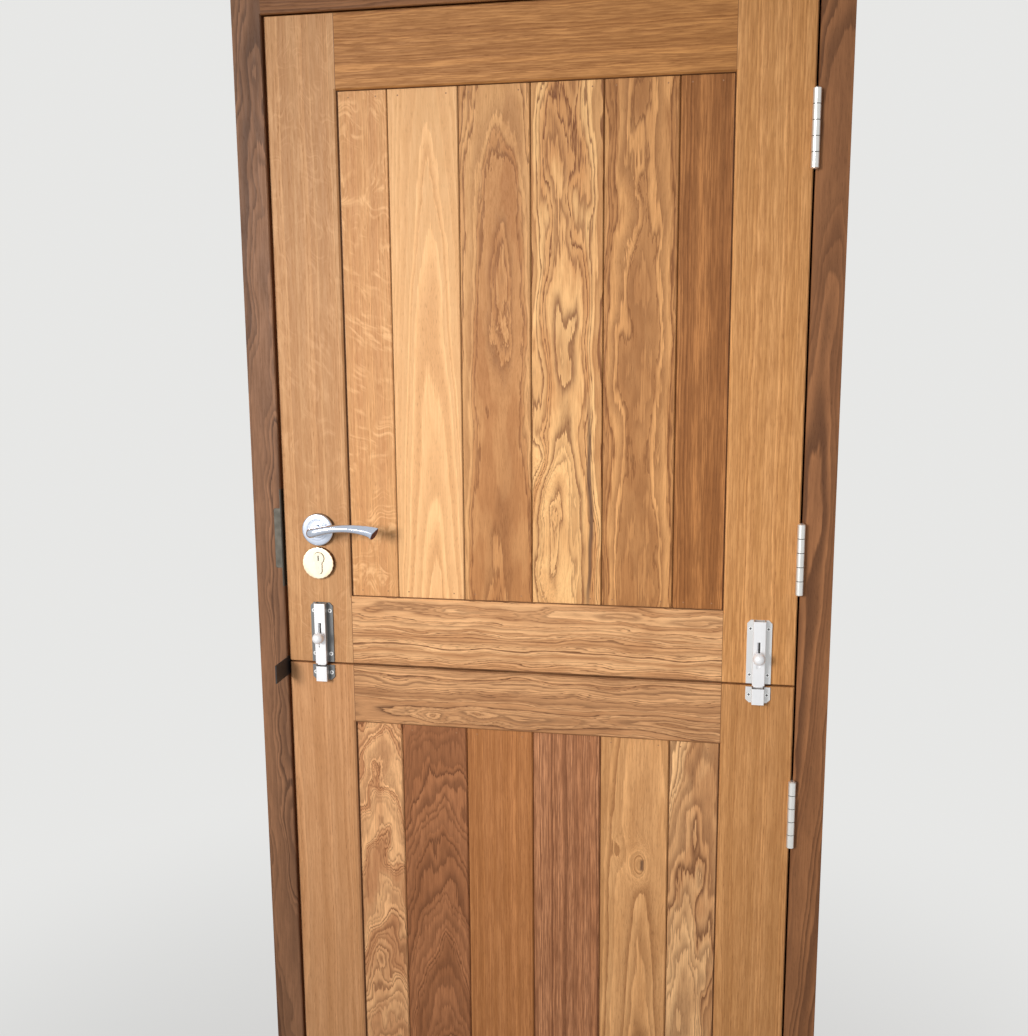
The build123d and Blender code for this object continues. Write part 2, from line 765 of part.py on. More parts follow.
def oval(place, half_thick, half_high):
    """A smooth closed oval on a plane, always started on the same side."""
    turns = [i * 2 * pi / oval_point_count for i in range(oval_point_count)]
    points = [(half_thick * cos(turn), half_high * sin(turn)) for turn in turns]
    return place * make_face(Spline(*points, periodic=True))


def grip_section(x):
    """An oval across the grip, square to its centre line."""
    share = (x - lever_bend) / (lever_reach - lever_bend)
    half_thick = neck_radius + (lever_tip_thickness - neck_radius) * share
    along = Plane(origin=(x, lever_middle(x), lever_projection), x_dir=(0, 0, 1),
                  z_dir=(1, lever_slope(x), 0))
    return oval(along, half_thick, lever_half_height(x))


def bend_section(angle):
    """An oval in the bend, angle degrees on from the neck, which it leaves round."""
    side, out = sin(radians(angle)), cos(radians(angle))
    slope = lever_slope(lever_bend)
    centre = (lever_bend * (1 - out), lever_middle(lever_bend) * (1 - out),
              lever_projection - lever_bend * (1 - side))
    along = Plane(origin=centre, x_dir=(-out, -slope * out, side * (1 + slope ** 2)),
                  z_dir=(side, slope * side, out))
    half_high = neck_radius + (lever_half_height(lever_bend) - neck_radius) * side
    return oval(along, neck_radius, half_high)


def lever():
    """The outside lever: a round neck, a tight bend and an arched grip that widens to its tip."""
    step = (lever_reach - lever_bend) / (grip_section_count - 1)
    turn = 90 / bend_section_count
    grip = [grip_section(lever_bend + i * step) for i in range(grip_section_count)]
    bend = [bend_section(i * turn) for i in range(bend_section_count)] + grip[:1]
    neck = extrude(bend[0], amount=lever_projection - lever_bend, dir=(0, 0, -1))
    return front_plane(spindle_x, spindle_z) * (neck + loft(bend) + loft(grip)) - spindle(spindle_gap)


def rose():
    """The round rose with a rounded rim and a low collar round the neck."""
    low = (Align.CENTER, Align.CENTER, Align.MIN)
    disc = Cylinder(rose_radius, rose_thickness, align=low)
    disc = fillet(disc.edges().group_by(Axis.Z)[-1], rose_edge)
    disc += Cylinder(rose_collar_radius, rose_thickness + rose_collar_height, align=low)
    disc -= Cylinder(neck_radius + neck_gap, 3 * rose_thickness)
    return front_plane(spindle_x, spindle_z) * disc


def escutcheon():
    """The bare round base round the cylinder, set a little to the side."""
    disc = Cylinder(escutcheon_radius, escutcheon_thickness, align=(Align.CENTER, Align.CENTER, Align.MIN))
    disc = front_plane(spindle_x - escutcheon_offset, escutcheon_z) * disc
    return disc - profile_bar(leaf_front - 2 * escutcheon_thickness, leaf_front + overshoot, glue_gap)


# Strike and packer

def strike_shape(gap=0.0):
    """The strike on the rebate with its lip round the front edge, or their recess with a gap."""
    half, lip_half = strike_height / 2 + gap, strike_lip_height / 2 + gap
    out = overshoot if gap else 0
    face = block(-opening_half - strike_thickness, -opening_half + out,
                 frame_front - out, frame_front + strike_width + gap, strike_z - half, strike_z + half)
    lip = block(-opening_half - strike_lip_width - gap, -opening_half + out,
                frame_front - out, frame_front + strike_thickness, strike_z - lip_half, strike_z + lip_half)
    corners = lip.edges().filter_by(Axis.Y).group_by(Axis.X)[0]
    return face + fillet(corners, strike_lip_corner)


def strike_screws():
    """Two screws through the ends of the strike, and their holes."""
    reach = strike_height / 2 - strike_screw_from_end
    spots = [(-opening_half, leaf_middle, strike_z + reach * end) for end in (-1, 1)]
    return screws(plate_screw, spots, (-1, 0, 0))


def strike_pockets(gap, extra=0.0):
    """The spaces that the latch and the dead bolt shoot into."""
    latch_reach = gap_lock_side + latch_throw + extra
    dead_reach = gap_lock_side + dead_bolt_throw + extra
    return [bolt_passage(spindle_z, latch_height, latch_reach, gap),
            bolt_passage(cylinder_z, dead_bolt_height, dead_reach, gap)]


def strike_plate():
    """The strike plate with its two mouths and screw holes."""
    return strike_shape() - opening_bevel() - strike_pockets(strike_hole_gap) - strike_screws()[1]


def gap_packer():
    """The dark flat plate in the gap beside the lock at the meeting line."""
    top = split + packer_top_above_split
    return block(-opening_half, -opening_half + packer_thickness, frame_front - packer_stands_out,
                 stop_front, top - packer_height, top)


# Surface bolts

def clipped_plate(z_low, z_high, clip_low, clip_high):
    """A flat plate of a surface bolt with two corners clipped."""
    half = bolt_base_width / 2
    low, high = (bolt_base_corner if clip else 0 for clip in (clip_low, clip_high))
    points = [(-half + low, z_low), (half - low, z_low), (half, z_low + low), (half, z_high - high),
              (half - high, z_high), (-half + high, z_high), (-half, z_high - high), (-half, z_low + low)]
    corners = [p for i, p in enumerate(points) if p != points[i - 1]]
    return extrude(make_face(Polyline(*corners, close=True)), amount=bolt_plate)


def channelled_plate(z_low, z_high, clip_low, clip_high):
    """A plate with the raised channel that the rod slides in."""
    piece = clipped_plate(z_low, z_high, clip_low, clip_high)
    middle, height = (z_low + z_high) / 2, z_high - z_low
    outside = Box(channel_width, height, channel_height, align=(Align.CENTER, Align.CENTER, Align.MIN))
    outside = fillet(outside.edges().filter_by(Axis.Y).group_by(Axis.Z)[-1], channel_round)
    inside = Box(channel_width - 2 * channel_wall, height + 2 * overshoot,
                 channel_height - channel_wall - bolt_plate, align=(Align.CENTER, Align.CENTER, Align.MIN))
    return piece + Pos(0, middle, 0) * outside - Pos(0, middle, bolt_plate) * inside


def bolt_base_limits():
    """Low and high local z of a bolt base above the meeting line."""
    return bolt_base_above_split, bolt_base_above_split + bolt_base_height


def bolt_base(x):
    """A surface bolt's base with its channel and the slot for the knob."""
    z_low, z_high = bolt_base_limits()
    piece = channelled_plate(z_low, z_high, False, True)
    half = knob_stem_radius + knob_slot_gap
    low = knob_above_split - bolt_shoot - half
    high = knob_above_split + bolt_withdraw + half
    slot = Pos(0, (low + high) / 2, channel_height) * Box(2 * half, high - low, 2 * channel_wall + overshoot)
    piece = front_plane(x, split) * (piece - slot)
    return piece - bolt_base_screws(x)[1]


def bolt_base_screws(x):
    """Four screws in a bolt base, and their holes."""
    z_low, z_high = bolt_base_limits()
    spots = [(x + side * bolt_screw_from_middle, leaf_front - bolt_plate, split + z)
             for side in (-1, 1) for z in (z_low + bolt_screw_from_end, z_high - bolt_screw_from_end)]
    return screws(bolt_screw, spots, (0, 1, 0))


def bolt_keep(x):
    """The keep on the lower leaf that the rod shoots into."""
    piece = channelled_plate(-keep_below_split - keep_height, -keep_below_split, True, False)
    return front_plane(x, split) * piece - bolt_keep_screws(x)[1]


def bolt_keep_screws(x):
    """Two screws in a keep, and their holes."""
    z = split - keep_below_split - keep_height / 2
    spots = [(x + side * bolt_screw_from_middle, leaf_front - bolt_plate, z) for side in (-1, 1)]
    return screws(bolt_screw, spots, (0, 1, 0))


def bolt_rod(x):
    """The flat rod that slides in the channel, with its stem and ball knob."""
    width = channel_width - 2 * channel_wall - 2 * rod_gap
    low, high = bolt_plate + rod_gap, channel_height - channel_wall - rod_gap
    rod = Pos(0, rod_tip_above_split + rod_length / 2, (low + high) / 2) * Box(width, rod_length, high - low)
    tip = rod.edges().group_by(Axis.Y)[0]
    rod = chamfer(tip, rod_tip_bevel)
    centre = channel_height + knob_from_channel
    stem = Pos(0, knob_above_split, low + rod_tip_bevel) * Cylinder(
        knob_stem_radius, centre - low - rod_tip_bevel, align=(Align.CENTER, Align.CENTER, Align.MIN))
    ball = Pos(0, knob_above_split, centre) * Sphere(knob_radius)
    return front_plane(x, split) * (rod + stem + ball)


# The whole door

def frame_nodes():
    """Everything that stays with the frame."""
    spots = hinge_centres()
    sets = [hinge_screws(1, z) for z in spots]
    strike_solids, strike_holes = strike_screws()
    recesses = [hinge_recess(1, z) for z in spots]
    fasteners = [s for solids, _ in sets for s in solids] + strike_solids
    fasteners += [ring for z in spots for ring in hinge_washers(z)]
    strike_cuts = [strike_shape(glue_gap)] + strike_holes
    strike_cuts += strike_pockets(strike_pocket_gap, strike_pocket_gap)
    nodes = {
        "jamb_lock": jamb(-1) - strike_cuts,
        "jamb_hinge": jamb(1) - recesses - [hole for _, holes in sets for hole in holes],
        "head": head(),
        "sill": sill(),
        "frame_stops": frame_stops(),
        "strike_plate": strike_plate(),
        "gap_packer": gap_packer(),
        "hinge_pins": group(hinge_pin(z) for z in spots),
        "frame_screws_and_washers": group(fasteners),
    }
    for i, z in enumerate(spots):
        nodes[f"hinge_{i + 1}_frame_leaf"] = hinge_leaf(1, z) - sets[i][1]
    return nodes


def add_hinges(nodes, name, indices):
    """Door leaves of the hinges in one leaf, cut into its stile, with their screws."""
    solids = []
    for i in indices:
        z = hinge_centres()[i]
        own, holes = hinge_screws(-1, z)
        nodes[f"{name}_hinge_stile"] -= [hinge_recess(-1, z)] + holes
        nodes[f"hinge_{i + 1}_door_leaf"] = hinge_leaf(-1, z) - holes
        solids += own
    return solids


def upper_leaf_nodes():
    """The upper leaf with its lock case, roses, escutcheons and bolt bases."""
    nodes = make_leaf("upper", upper_leaf_bottom, upper_leaf_top, upper_meeting_rail_face, top_rail_face,
                      "upper_meeting_rail", "upper_top_rail", upper_joint_bevel)
    solids = add_hinges(nodes, "upper", (0, 1))
    nodes["upper_lock_stile"] -= lock_cuts()
    for side, x in bolt_places().items():
        nodes[f"bolt_{side}_base"] = bolt_base(x)
        own, holes = bolt_base_screws(x)
        nodes[stile_under(side, "upper")] -= holes
        solids += own
    solids += forend_screws()[0] + [cylinder_screw()]
    nodes["upper_screws"] = group(solids)
    nodes["lock_case"] = lock_case()
    nodes["lock_cylinder"] = lock_cylinder()
    nodes["rose_outside"] = rose()
    nodes["rose_inside"] = to_back(rose())
    nodes["escutcheon_outside"] = escutcheon()
    nodes["escutcheon_inside"] = to_back(escutcheon())
    return nodes


def lower_leaf_nodes():
    """The lower leaf with the keeps of both bolts."""
    nodes = make_leaf("lower", lower_leaf_bottom, lower_leaf_top, bottom_rail_face, lower_meeting_rail_face,
                      "lower_bottom_rail", "lower_meeting_rail", lower_joint_bevel)
    solids = add_hinges(nodes, "lower", (2, 3))
    for side, x in bolt_places().items():
        nodes[f"bolt_{side}_keep"] = bolt_keep(x)
        own, holes = bolt_keep_screws(x)
        nodes[stile_under(side, "lower")] -= holes
        solids += own
    nodes["lower_screws"] = group(solids)
    return nodes


def bolt_places():
    """The middle of each surface bolt."""
    return {"left": leaf_left + left_bolt_from_edge, "right": leaf_right - right_bolt_from_edge}


def stile_under(side, name):
    """The stile that carries a surface bolt or its keep."""
    return f"{name}_lock_stile" if side == "left" else f"{name}_hinge_stile"


def moving_nodes():
    """The pieces that move on the upper leaf."""
    nodes = {
        "lever_outside": lever(),
        "lever_inside": to_back(lever()),
        "spindle": spindle(),
        "follower": follower(),
        "latch_bolt": latch_bolt(),
        "dead_bolt": dead_bolt(),
        "cylinder_plug": cylinder_plug(),
    }
    for side, x in bolt_places().items():
        nodes[f"bolt_{side}_rod"] = bolt_rod(x)
    return nodes


os.makedirs("parts", exist_ok=True)
door = {**frame_nodes(), **upper_leaf_nodes(), **lower_leaf_nodes(), **moving_nodes()}
for node_name, shape in door.items():
    export_step(shape, f"parts/{node_name}.step")
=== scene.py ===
"""A stable door in two leaves: its finishes, its turned and cast ironmongery, and a plain stage."""

from dataclasses import dataclass
from math import pi, radians

import bpy
import numpy as np
from bpy.props import FloatProperty, FloatVectorProperty, IntProperty, PointerProperty
from mathutils import Euler, Matrix, Vector


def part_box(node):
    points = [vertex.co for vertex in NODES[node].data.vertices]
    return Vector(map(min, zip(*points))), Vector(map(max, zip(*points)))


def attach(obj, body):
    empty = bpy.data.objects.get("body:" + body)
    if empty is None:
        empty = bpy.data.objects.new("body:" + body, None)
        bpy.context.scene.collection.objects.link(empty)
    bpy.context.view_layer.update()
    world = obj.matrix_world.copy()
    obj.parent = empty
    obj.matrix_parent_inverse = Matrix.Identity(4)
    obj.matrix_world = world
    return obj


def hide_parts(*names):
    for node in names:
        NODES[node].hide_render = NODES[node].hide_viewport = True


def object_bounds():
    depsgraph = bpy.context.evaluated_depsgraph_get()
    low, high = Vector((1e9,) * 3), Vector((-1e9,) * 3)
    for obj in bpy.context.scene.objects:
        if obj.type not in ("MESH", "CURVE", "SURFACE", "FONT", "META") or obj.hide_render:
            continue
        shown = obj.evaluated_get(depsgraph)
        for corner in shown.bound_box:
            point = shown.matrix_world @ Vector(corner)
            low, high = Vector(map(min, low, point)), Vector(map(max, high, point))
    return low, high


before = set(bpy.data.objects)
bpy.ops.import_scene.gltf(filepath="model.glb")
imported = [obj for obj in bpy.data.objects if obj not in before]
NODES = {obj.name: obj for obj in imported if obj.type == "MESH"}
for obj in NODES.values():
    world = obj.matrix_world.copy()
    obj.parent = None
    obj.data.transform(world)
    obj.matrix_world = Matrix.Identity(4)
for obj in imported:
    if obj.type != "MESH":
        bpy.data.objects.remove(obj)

bl_info = {
    "name": "Stable door finishes",
    "version": (1, 0, 0),
    "blender": (4, 5, 0),
    "location": "3D View > Sidebar > Stable door",
    "description": "Dresses a packed stable door with oak, ironmongery and a plain stage",
    "category": "Object",
}

CAD_LOW, CAD_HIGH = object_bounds()
MILLIMETRE = 0.001


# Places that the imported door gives

def middle(node):
    """The middle of a node's box at rest."""
    low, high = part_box(node)
    return (low + high) / 2


def half_size(node):
    """Half the size of a node's box at rest, in millimetres."""
    low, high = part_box(node)
    return (high - low) / (2 * MILLIMETRE)


LEAF_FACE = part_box("upper_lock_stile")[0].y
LEAF_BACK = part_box("upper_lock_stile")[1].y
# Each side of a leaf: its name, where its face is along Y, and the way out from it
LEAF_SIDES = (("outside", LEAF_FACE, -1), ("inside", LEAF_BACK, 1))
SPINDLE = middle("spindle")
PROFILE_RADIUS = 8.5
CYLINDER_X = middle("lock_cylinder").x
CYLINDER_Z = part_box("lock_cylinder")[1].z - PROFILE_RADIUS * MILLIMETRE


# Meshes worked out as whole arrays

def new_object(name, points, faces, material, sharp_angle):
    """A mesh object at the origin, with its faces turned outwards by the sign of its volume."""
    triangles = np.array([(face[0], face[i], face[i + 1])
                          for face in faces for i in range(1, len(face) - 1)])
    corner, second, third = (points[triangles[:, i]] for i in range(3))
    if np.einsum("ij,ij->", corner, np.cross(second, third)) < 0:
        faces = [face[::-1] for face in faces]
    mesh = bpy.data.meshes.new(name)
    mesh.from_pydata(points.tolist(), [], faces)
    mesh.shade_smooth()
    mesh.set_sharp_from_angle(angle=sharp_angle)
    mesh.materials.append(material)
    piece = bpy.data.objects.new(name, mesh)
    bpy.context.scene.collection.objects.link(piece)
    return piece


def tube_faces(ring_count, side_count, start=0, joined=False):
    """Four-sided faces between neighbouring rings, closed by flat ends or joined into a loop."""
    sides = np.arange(side_count)
    after = (sides + 1) % side_count
    spans = ring_count if joined else ring_count - 1
    faces = []
    for ring in range(spans):
        this = start + ring * side_count
        following = start + (ring + 1) % ring_count * side_count
        faces += np.stack([this + sides, this + after, following + after, following + sides], 1).tolist()
    if not joined:
        last = start + (ring_count - 1) * side_count
        faces.append((start + sides)[::-1].tolist())
        faces.append((last + sides).tolist())
    return faces


def lathe(profile, centre, out, side_count):
    """Rings of a turned shape: each profile point, a radius and a height, turned round the Y axis.

    out is -1 where the shape stands towards the outside of the door and 1 where it stands inside."""
    angle = np.linspace(0, 2 * pi, side_count, endpoint=False)
    radius, height = np.array(profile, float).T
    x = centre[0] + radius[:, None] * np.cos(angle)
    z = centre[2] + radius[:, None] * np.sin(angle)
    y = np.broadcast_to(centre[1] + out * height[:, None], x.shape)
    return np.stack([x, y, z], -1).reshape(-1, 3)


def arc(centre, radius, start, end, count):
    """Points of a circle's arc in a profile, from one angle to another in degrees."""
    angle = np.radians(np.linspace(start, end, count))
    return [(centre[0] + radius * np.cos(a), centre[1] + radius * np.sin(a)) for a in angle]


def superellipse(angle, exponent):
    """A rounded box: the cosine and sine of the angle raised to two over the exponent, signs kept."""
    c, s = np.cos(angle), np.sin(angle)
    return np.sign(c) * abs(c) ** (2 / exponent), np.sign(s) * abs(s) ** (2 / exponent)


def unit_rows(vectors):
    """Each row of an array as a vector of length one."""
    return vectors / np.linalg.norm(vectors, axis=1)[:, None]


# Node trees

# Numbers of a mix node's sockets for two colours, their share and the result
MIX_SHARE, MIX_FIRST, MIX_SECOND, MIX_RESULT = 0, 6, 7, 2


class Tree:
    """A node tree with a short call for each kind of node that the finishes use."""

    def __init__(self, tree):
        self.tree = tree

    def add(self, kind, **settings):
        """Adds a node and writes its settings."""
        node = self.tree.nodes.new(kind)
        for key, value in settings.items():
            setattr(node, key, value)
        return node

    def feed(self, socket, value):
        """Links a socket's value, or writes a plain one."""
        if isinstance(value, bpy.types.NodeSocket):
            self.tree.links.new(value, socket)
        else:
            socket.default_value = value

    def feed_all(self, node, values):
        """Feeds a node's inputs by name or number, or in order, and returns its outputs."""
        pairs = values.items() if isinstance(values, dict) else enumerate(values)
        for key, value in pairs:
            self.feed(node.inputs[key], value)
        return node.outputs

    def math(self, operation, *values):
        return self.feed_all(self.add("ShaderNodeMath", operation=operation), values)[0]

    def plus(self, first, second):
        return self.math("ADD", first, second)

    def minus(self, first, second):
        return self.math("SUBTRACT", first, second)

    def times(self, first, second):
        return self.math("MULTIPLY", first, second)

    def over(self, first, second):
        return self.math("DIVIDE", first, second)

    def times_plus(self, first, second, rest):
        """The first times the second, plus the rest."""
        return self.math("MULTIPLY_ADD", first, second, rest)

    def sway(self, noise, amount, rest):
        """The rest, moved up or down by the amount times the noise's distance from its middle."""
        return self.times_plus(self.minus(noise, 0.5), amount, rest)

    def vector(self, operation, *values):
        node = self.add("ShaderNodeVectorMath", operation=operation)
        return self.feed_all(node, values)["Value" if operation == "LENGTH" else "Vector"]

    def scaled(self, vector, factor):
        node = self.add("ShaderNodeVectorMath", operation="SCALE")
        return self.feed_all(node, {0: vector, "Scale": factor})["Vector"]

    def noise(self, place, cell=None, detail=1.0, roughness=0.5, output="Fac"):
        """Soft noise with cells of the given lengths, or with one cell for each unit of the place."""
        if cell:
            place = self.vector("MULTIPLY", place, tuple(1 / length for length in cell))
        return self.feed_all(self.add("ShaderNodeTexNoise"), {
            "Vector": place, "Scale": 1.0, "Detail": detail, "Roughness": roughness})[output]

    def noise_along(self, value, detail=0.0):
        """Soft noise along one number."""
        node = self.add("ShaderNodeTexNoise", noise_dimensions="1D")
        return self.feed_all(node, {"W": value, "Scale": 1.0, "Detail": detail})["Fac"]

    def step(self, value, low, high, start=0.0, end=1.0):
        """A smooth step from start to end while the value goes from low to high."""
        node = self.add("ShaderNodeMapRange", interpolation_type="SMOOTHSTEP")
        return self.feed_all(node, {"Value": value, "From Min": low, "From Max": high, "To Min": start,
                                    "To Max": end})[0]

    def mix(self, share, first, second, blend="MIX"):
        """Two colours mixed by a share."""
        node = self.add("ShaderNodeMix", data_type="RGBA", blend_type=blend)
        return self.feed_all(node, {MIX_SHARE: share, MIX_FIRST: first, MIX_SECOND: second})[MIX_RESULT]

    def shaded(self, tone, shade):
        """A colour times a grey."""
        return self.mix(1.0, tone, self.join(shade, shade, shade), "MULTIPLY")

    def mix_shaders(self, share, first, second):
        """Two shaders mixed by a share."""
        return self.feed_all(self.add("ShaderNodeMixShader"), (share, first, second))[0]

    def split(self, vector):
        return self.feed_all(self.add("ShaderNodeSeparateXYZ"), (vector,))

    def join(self, x=0.0, y=0.0, z=0.0):
        return self.feed_all(self.add("ShaderNodeCombineXYZ"), (x, y, z))[0]

    def object_place(self):
        """Where a point is in its object's own coordinates, in metres."""
        return self.add("ShaderNodeTexCoord").outputs["Object"]

    def place(self, group, values):
        """Places a node group with its own values and returns its outputs."""
        return self.feed_all(self.add("ShaderNodeGroup", node_tree=group), values)


def socket_kind(value):
    """The socket type that suits a default: a number, a vector of three or a colour of four."""
    if isinstance(value, (int, float)):
        return "NodeSocketFloat"
    return "NodeSocketVector" if len(value) == 3 else "NodeSocketColor"


def build_group(name, inputs, outputs):
    """An empty node group with named sockets: itself, its tree, what it is given and what it puts out."""
    group = bpy.data.node_groups.new(name, "ShaderNodeTree")
    for direction, sockets in (("INPUT", inputs), ("OUTPUT", outputs)):
        for label, default in sockets.items():
            socket = group.interface.new_socket(name=label, in_out=direction,
                                                socket_type=socket_kind(default))
            socket.default_value = default
    tree = Tree(group)
    return group, tree, tree.add("NodeGroupInput").outputs, tree.add("NodeGroupOutput").inputs


def new_material(name):
    """A material, its node tree and its principled shader."""
    material = bpy.data.materials.new(name)
    material.use_nodes = True
    return material, Tree(material.node_tree), material.node_tree.nodes["Principled BSDF"]


def apply_finish(t, shader, finish, relief, depth):
    """Feeds a finish's colour, roughness and height to a shader.

    The relief is the strength of its bumps, and the depth how high they are in millimetres."""
    bump = t.feed_all(t.add("ShaderNodeBump"), {
        "Strength": relief, "Distance": depth * MILLIMETRE, "Height": finish["Height"]})
    t.feed_all(shader, {
        "Base Color": finish["Colour"], "Roughness": finish["Roughness"], "Normal": bump[0]})


def colour(red, green, blue):
    """A colour as it is seen, 0 to 255 in sRGB, as the linear colour that a shader takes."""
    seen = np.array([red, green, blue]) / 255
    linear = np.where(seen <= 0.04045, seen / 12.92, ((seen + 0.055) / 1.055) ** 2.4)
    return (*linear.tolist(), 1.0)


def seen_colour(setting):
    """A colour setting, 0 to 1 as it is seen, as three numbers from 0 to 255."""
    return tuple(255 * part for part in setting)


# Oak as shared node groups: places and the cells of noise are in millimetres

ORIGIN = (0.0, 0.0, 0.0)
STREAK_COLOUR = colour(96, 66, 48)
PORE_COLOUR = colour(60, 36, 20)
# Painted shade: dark brown for the shade in the V-joints, along arrises and on the walls beside the boards
JOINT_SHADE_COLOUR = colour(78, 40, 16)


def grain_eye_group():
    """Lifts the growth rings in a soft mound, so that a flat board cuts closed ovals there.

    The mound is its height times e to the minus of the squared distance, which is counted in half
    widths across the board and in half lengths along it."""
    group, t, given, put = build_group("Grain eye", {
        "Place": ORIGIN, "Across": 0.0, "Along": 0.0, "Half width": 15.0, "Half length": 60.0,
        "Height": 10.0}, {"Place": ORIGIN})
    x, _, z = t.split(given["Place"])
    across = t.over(t.minus(x, given["Across"]), given["Half width"])
    along = t.over(t.minus(z, given["Along"]), given["Half length"])
    square = t.times_plus(across, across, t.times(along, along))
    mound = t.math("EXPONENT", t.times(square, -1.0))
    lift = t.times(mound, given["Height"])
    t.feed(put["Place"], t.vector("ADD", given["Place"], t.join(0.0, lift, 0.0)))
    return group


def pith_distance(t, given, moved, fine):
    """How far a point is from the pith, bent by slow noise and roughened by two finer ones."""
    slow_cell, wander_gain, fine_gain, coarse_gain = 42.0, 2.0, 2.2, 3.0
    x, y, z = t.split(given["Place"])
    moved_x, moved_y, moved_z = t.split(moved)
    slow_place = t.join(t.over(moved_x, slow_cell), t.over(moved_y, slow_cell),
                        t.over(moved_z, given["Wander length"]))
    slow_noise = t.noise(slow_place, None, 1.6, 0.45, "Color")
    slow = t.split(t.vector("SUBTRACT", slow_noise, (0.5, 0.5, 0.5)))
    wander = t.times(given["Wander"], wander_gain)
    across = t.minus(x, given["Pith across"])
    across = t.times_plus(z, t.times(given["Lean"], -1.0), across)
    across = t.times_plus(slow[0], wander, across)
    depth = t.plus(given["Pith depth"], y)
    depth = t.times_plus(z, given["Taper"], depth)
    depth = t.times_plus(slow[1], wander, depth)
    distance = t.vector("LENGTH", t.join(across, depth, 0.0))
    distance = t.sway(fine, t.times(given["Jag"], fine_gain), distance)
    return t.sway(t.noise(moved, (12, 12, 60), 1.5), t.times(given["Jag"], coarse_gain), distance)


def growth_rings(t, given, distance):
    """The count of rings out to a distance, this ring's strength from 0 to 1, and its dark line.

    Slow noise stretches the count, so that some rings are wide and some narrow. The line rises
    sharply where its ring starts and then fades."""
    stretch_pace, stretch, rise_end, fade_more = 0.37, 2.4, 0.12, 0.2
    least_line = 0.2
    count = t.over(distance, given["Ring width"])
    count = t.plus(count, t.times(t.noise_along(t.times(count, stretch_pace)), stretch))
    ring, part = t.math("FLOOR", count), t.math("FRACT", count)
    chance = t.add("ShaderNodeTexWhiteNoise", noise_dimensions="1D")
    strength = t.feed_all(chance, {"W": t.plus(ring, given["Seed"])})["Value"]
    rise = t.step(part, 0.0, rise_end)
    fade = t.step(part, rise_end, t.plus(given["Softness"], fade_more), 1.0, 0.0)
    line = t.times(t.times(rise, fade), t.times_plus(strength, 1 - least_line, least_line))
    return count, strength, line


def oak_figure_group():
    """Growth rings as cones round a pith in front of the piece, cut by the piece's own faces.

    In a place X is across the board, Y its depth and Z along the grain. Fine streaks and pores lie
    along the grain. Broad patches follow bands of several rings, with slow noise added."""
    group, t, given, put = build_group("Oak figure", {
        "Place": ORIGIN, "Seed": 0.0, "Pith across": 0.0, "Pith depth": 60.0, "Taper": 0.03,
        "Lean": 0.0, "Ring width": 4.0, "Wander": 4.0, "Wander length": 200.0, "Jag": 0.6,
        "Softness": 0.6}, {"Ring": 0.0, "Tone": 0.0, "Fine": 0.0, "Broad": 0.0, "Pores": 0.0})
    moved = t.vector("ADD", given["Place"], t.scaled(t.join(37.0, 91.0, 530.0), given["Seed"]))
    fine = t.noise(moved, (2.2, 2.2, 42), 2.5, 0.62)
    count, strength, line = growth_rings(t, given, pith_distance(t, given, moved, fine))
    t.feed(put["Ring"], line)
    t.feed(put["Tone"], strength)
    t.feed(put["Fine"], t.step(fine, 0.34, 0.66))

    band_pace, band_share, noise_share = 0.24, 0.7, 0.45
    band = t.step(t.noise_along(t.plus(t.times(count, band_pace), given["Seed"]), 1.0), 0.46, 0.56)
    soft_patch = t.times(t.step(t.noise(moved, (26, 26, 110), 2.5), 0.42, 0.62), noise_share)
    t.feed(put["Broad"], t.math("MINIMUM", t.times_plus(band, band_share, soft_patch), 1.0))

    most_pores, least_pores = 1.0, 0.3
    dense = t.times_plus(line, most_pores - least_pores, least_pores)
    t.feed(put["Pores"], t.times(t.step(t.noise(moved, (0.8, 0.8, 11)), 0.56, 0.7), dense))
    return group


def ray_fleck_group():
    """Light curved flecks that cross the grain of a quartered board.

    Fine noise is stretched along a direction that leans from the grain and bends with slow noise,
    and only its crests are kept, in patches."""
    group, t, given, put = build_group("Ray flecks", {
        "Place": ORIGIN, "Seed": 0.0, "Lean": 35.0}, {"Flecks": 0.0})
    moved = t.vector("ADD", given["Place"], t.scaled(t.join(61.0, 17.0, 290.0), given["Seed"]))
    angle = t.sway(t.noise(moved, (40, 40, 60)), 1.0, t.math("RADIANS", given["Lean"]))
    turned = t.feed_all(t.add("ShaderNodeVectorRotate", rotation_type="Y_AXIS"), {
        "Vector": given["Place"], "Angle": angle})[0]
    strokes = t.step(t.noise(turned, (7.5, 8, 26), 2.0), 0.46, 0.72)
    patches = t.step(t.noise(moved, (34, 34, 60)), 0.34, 0.6)
    t.feed(put["Flecks"], t.times(strokes, patches))
    return group


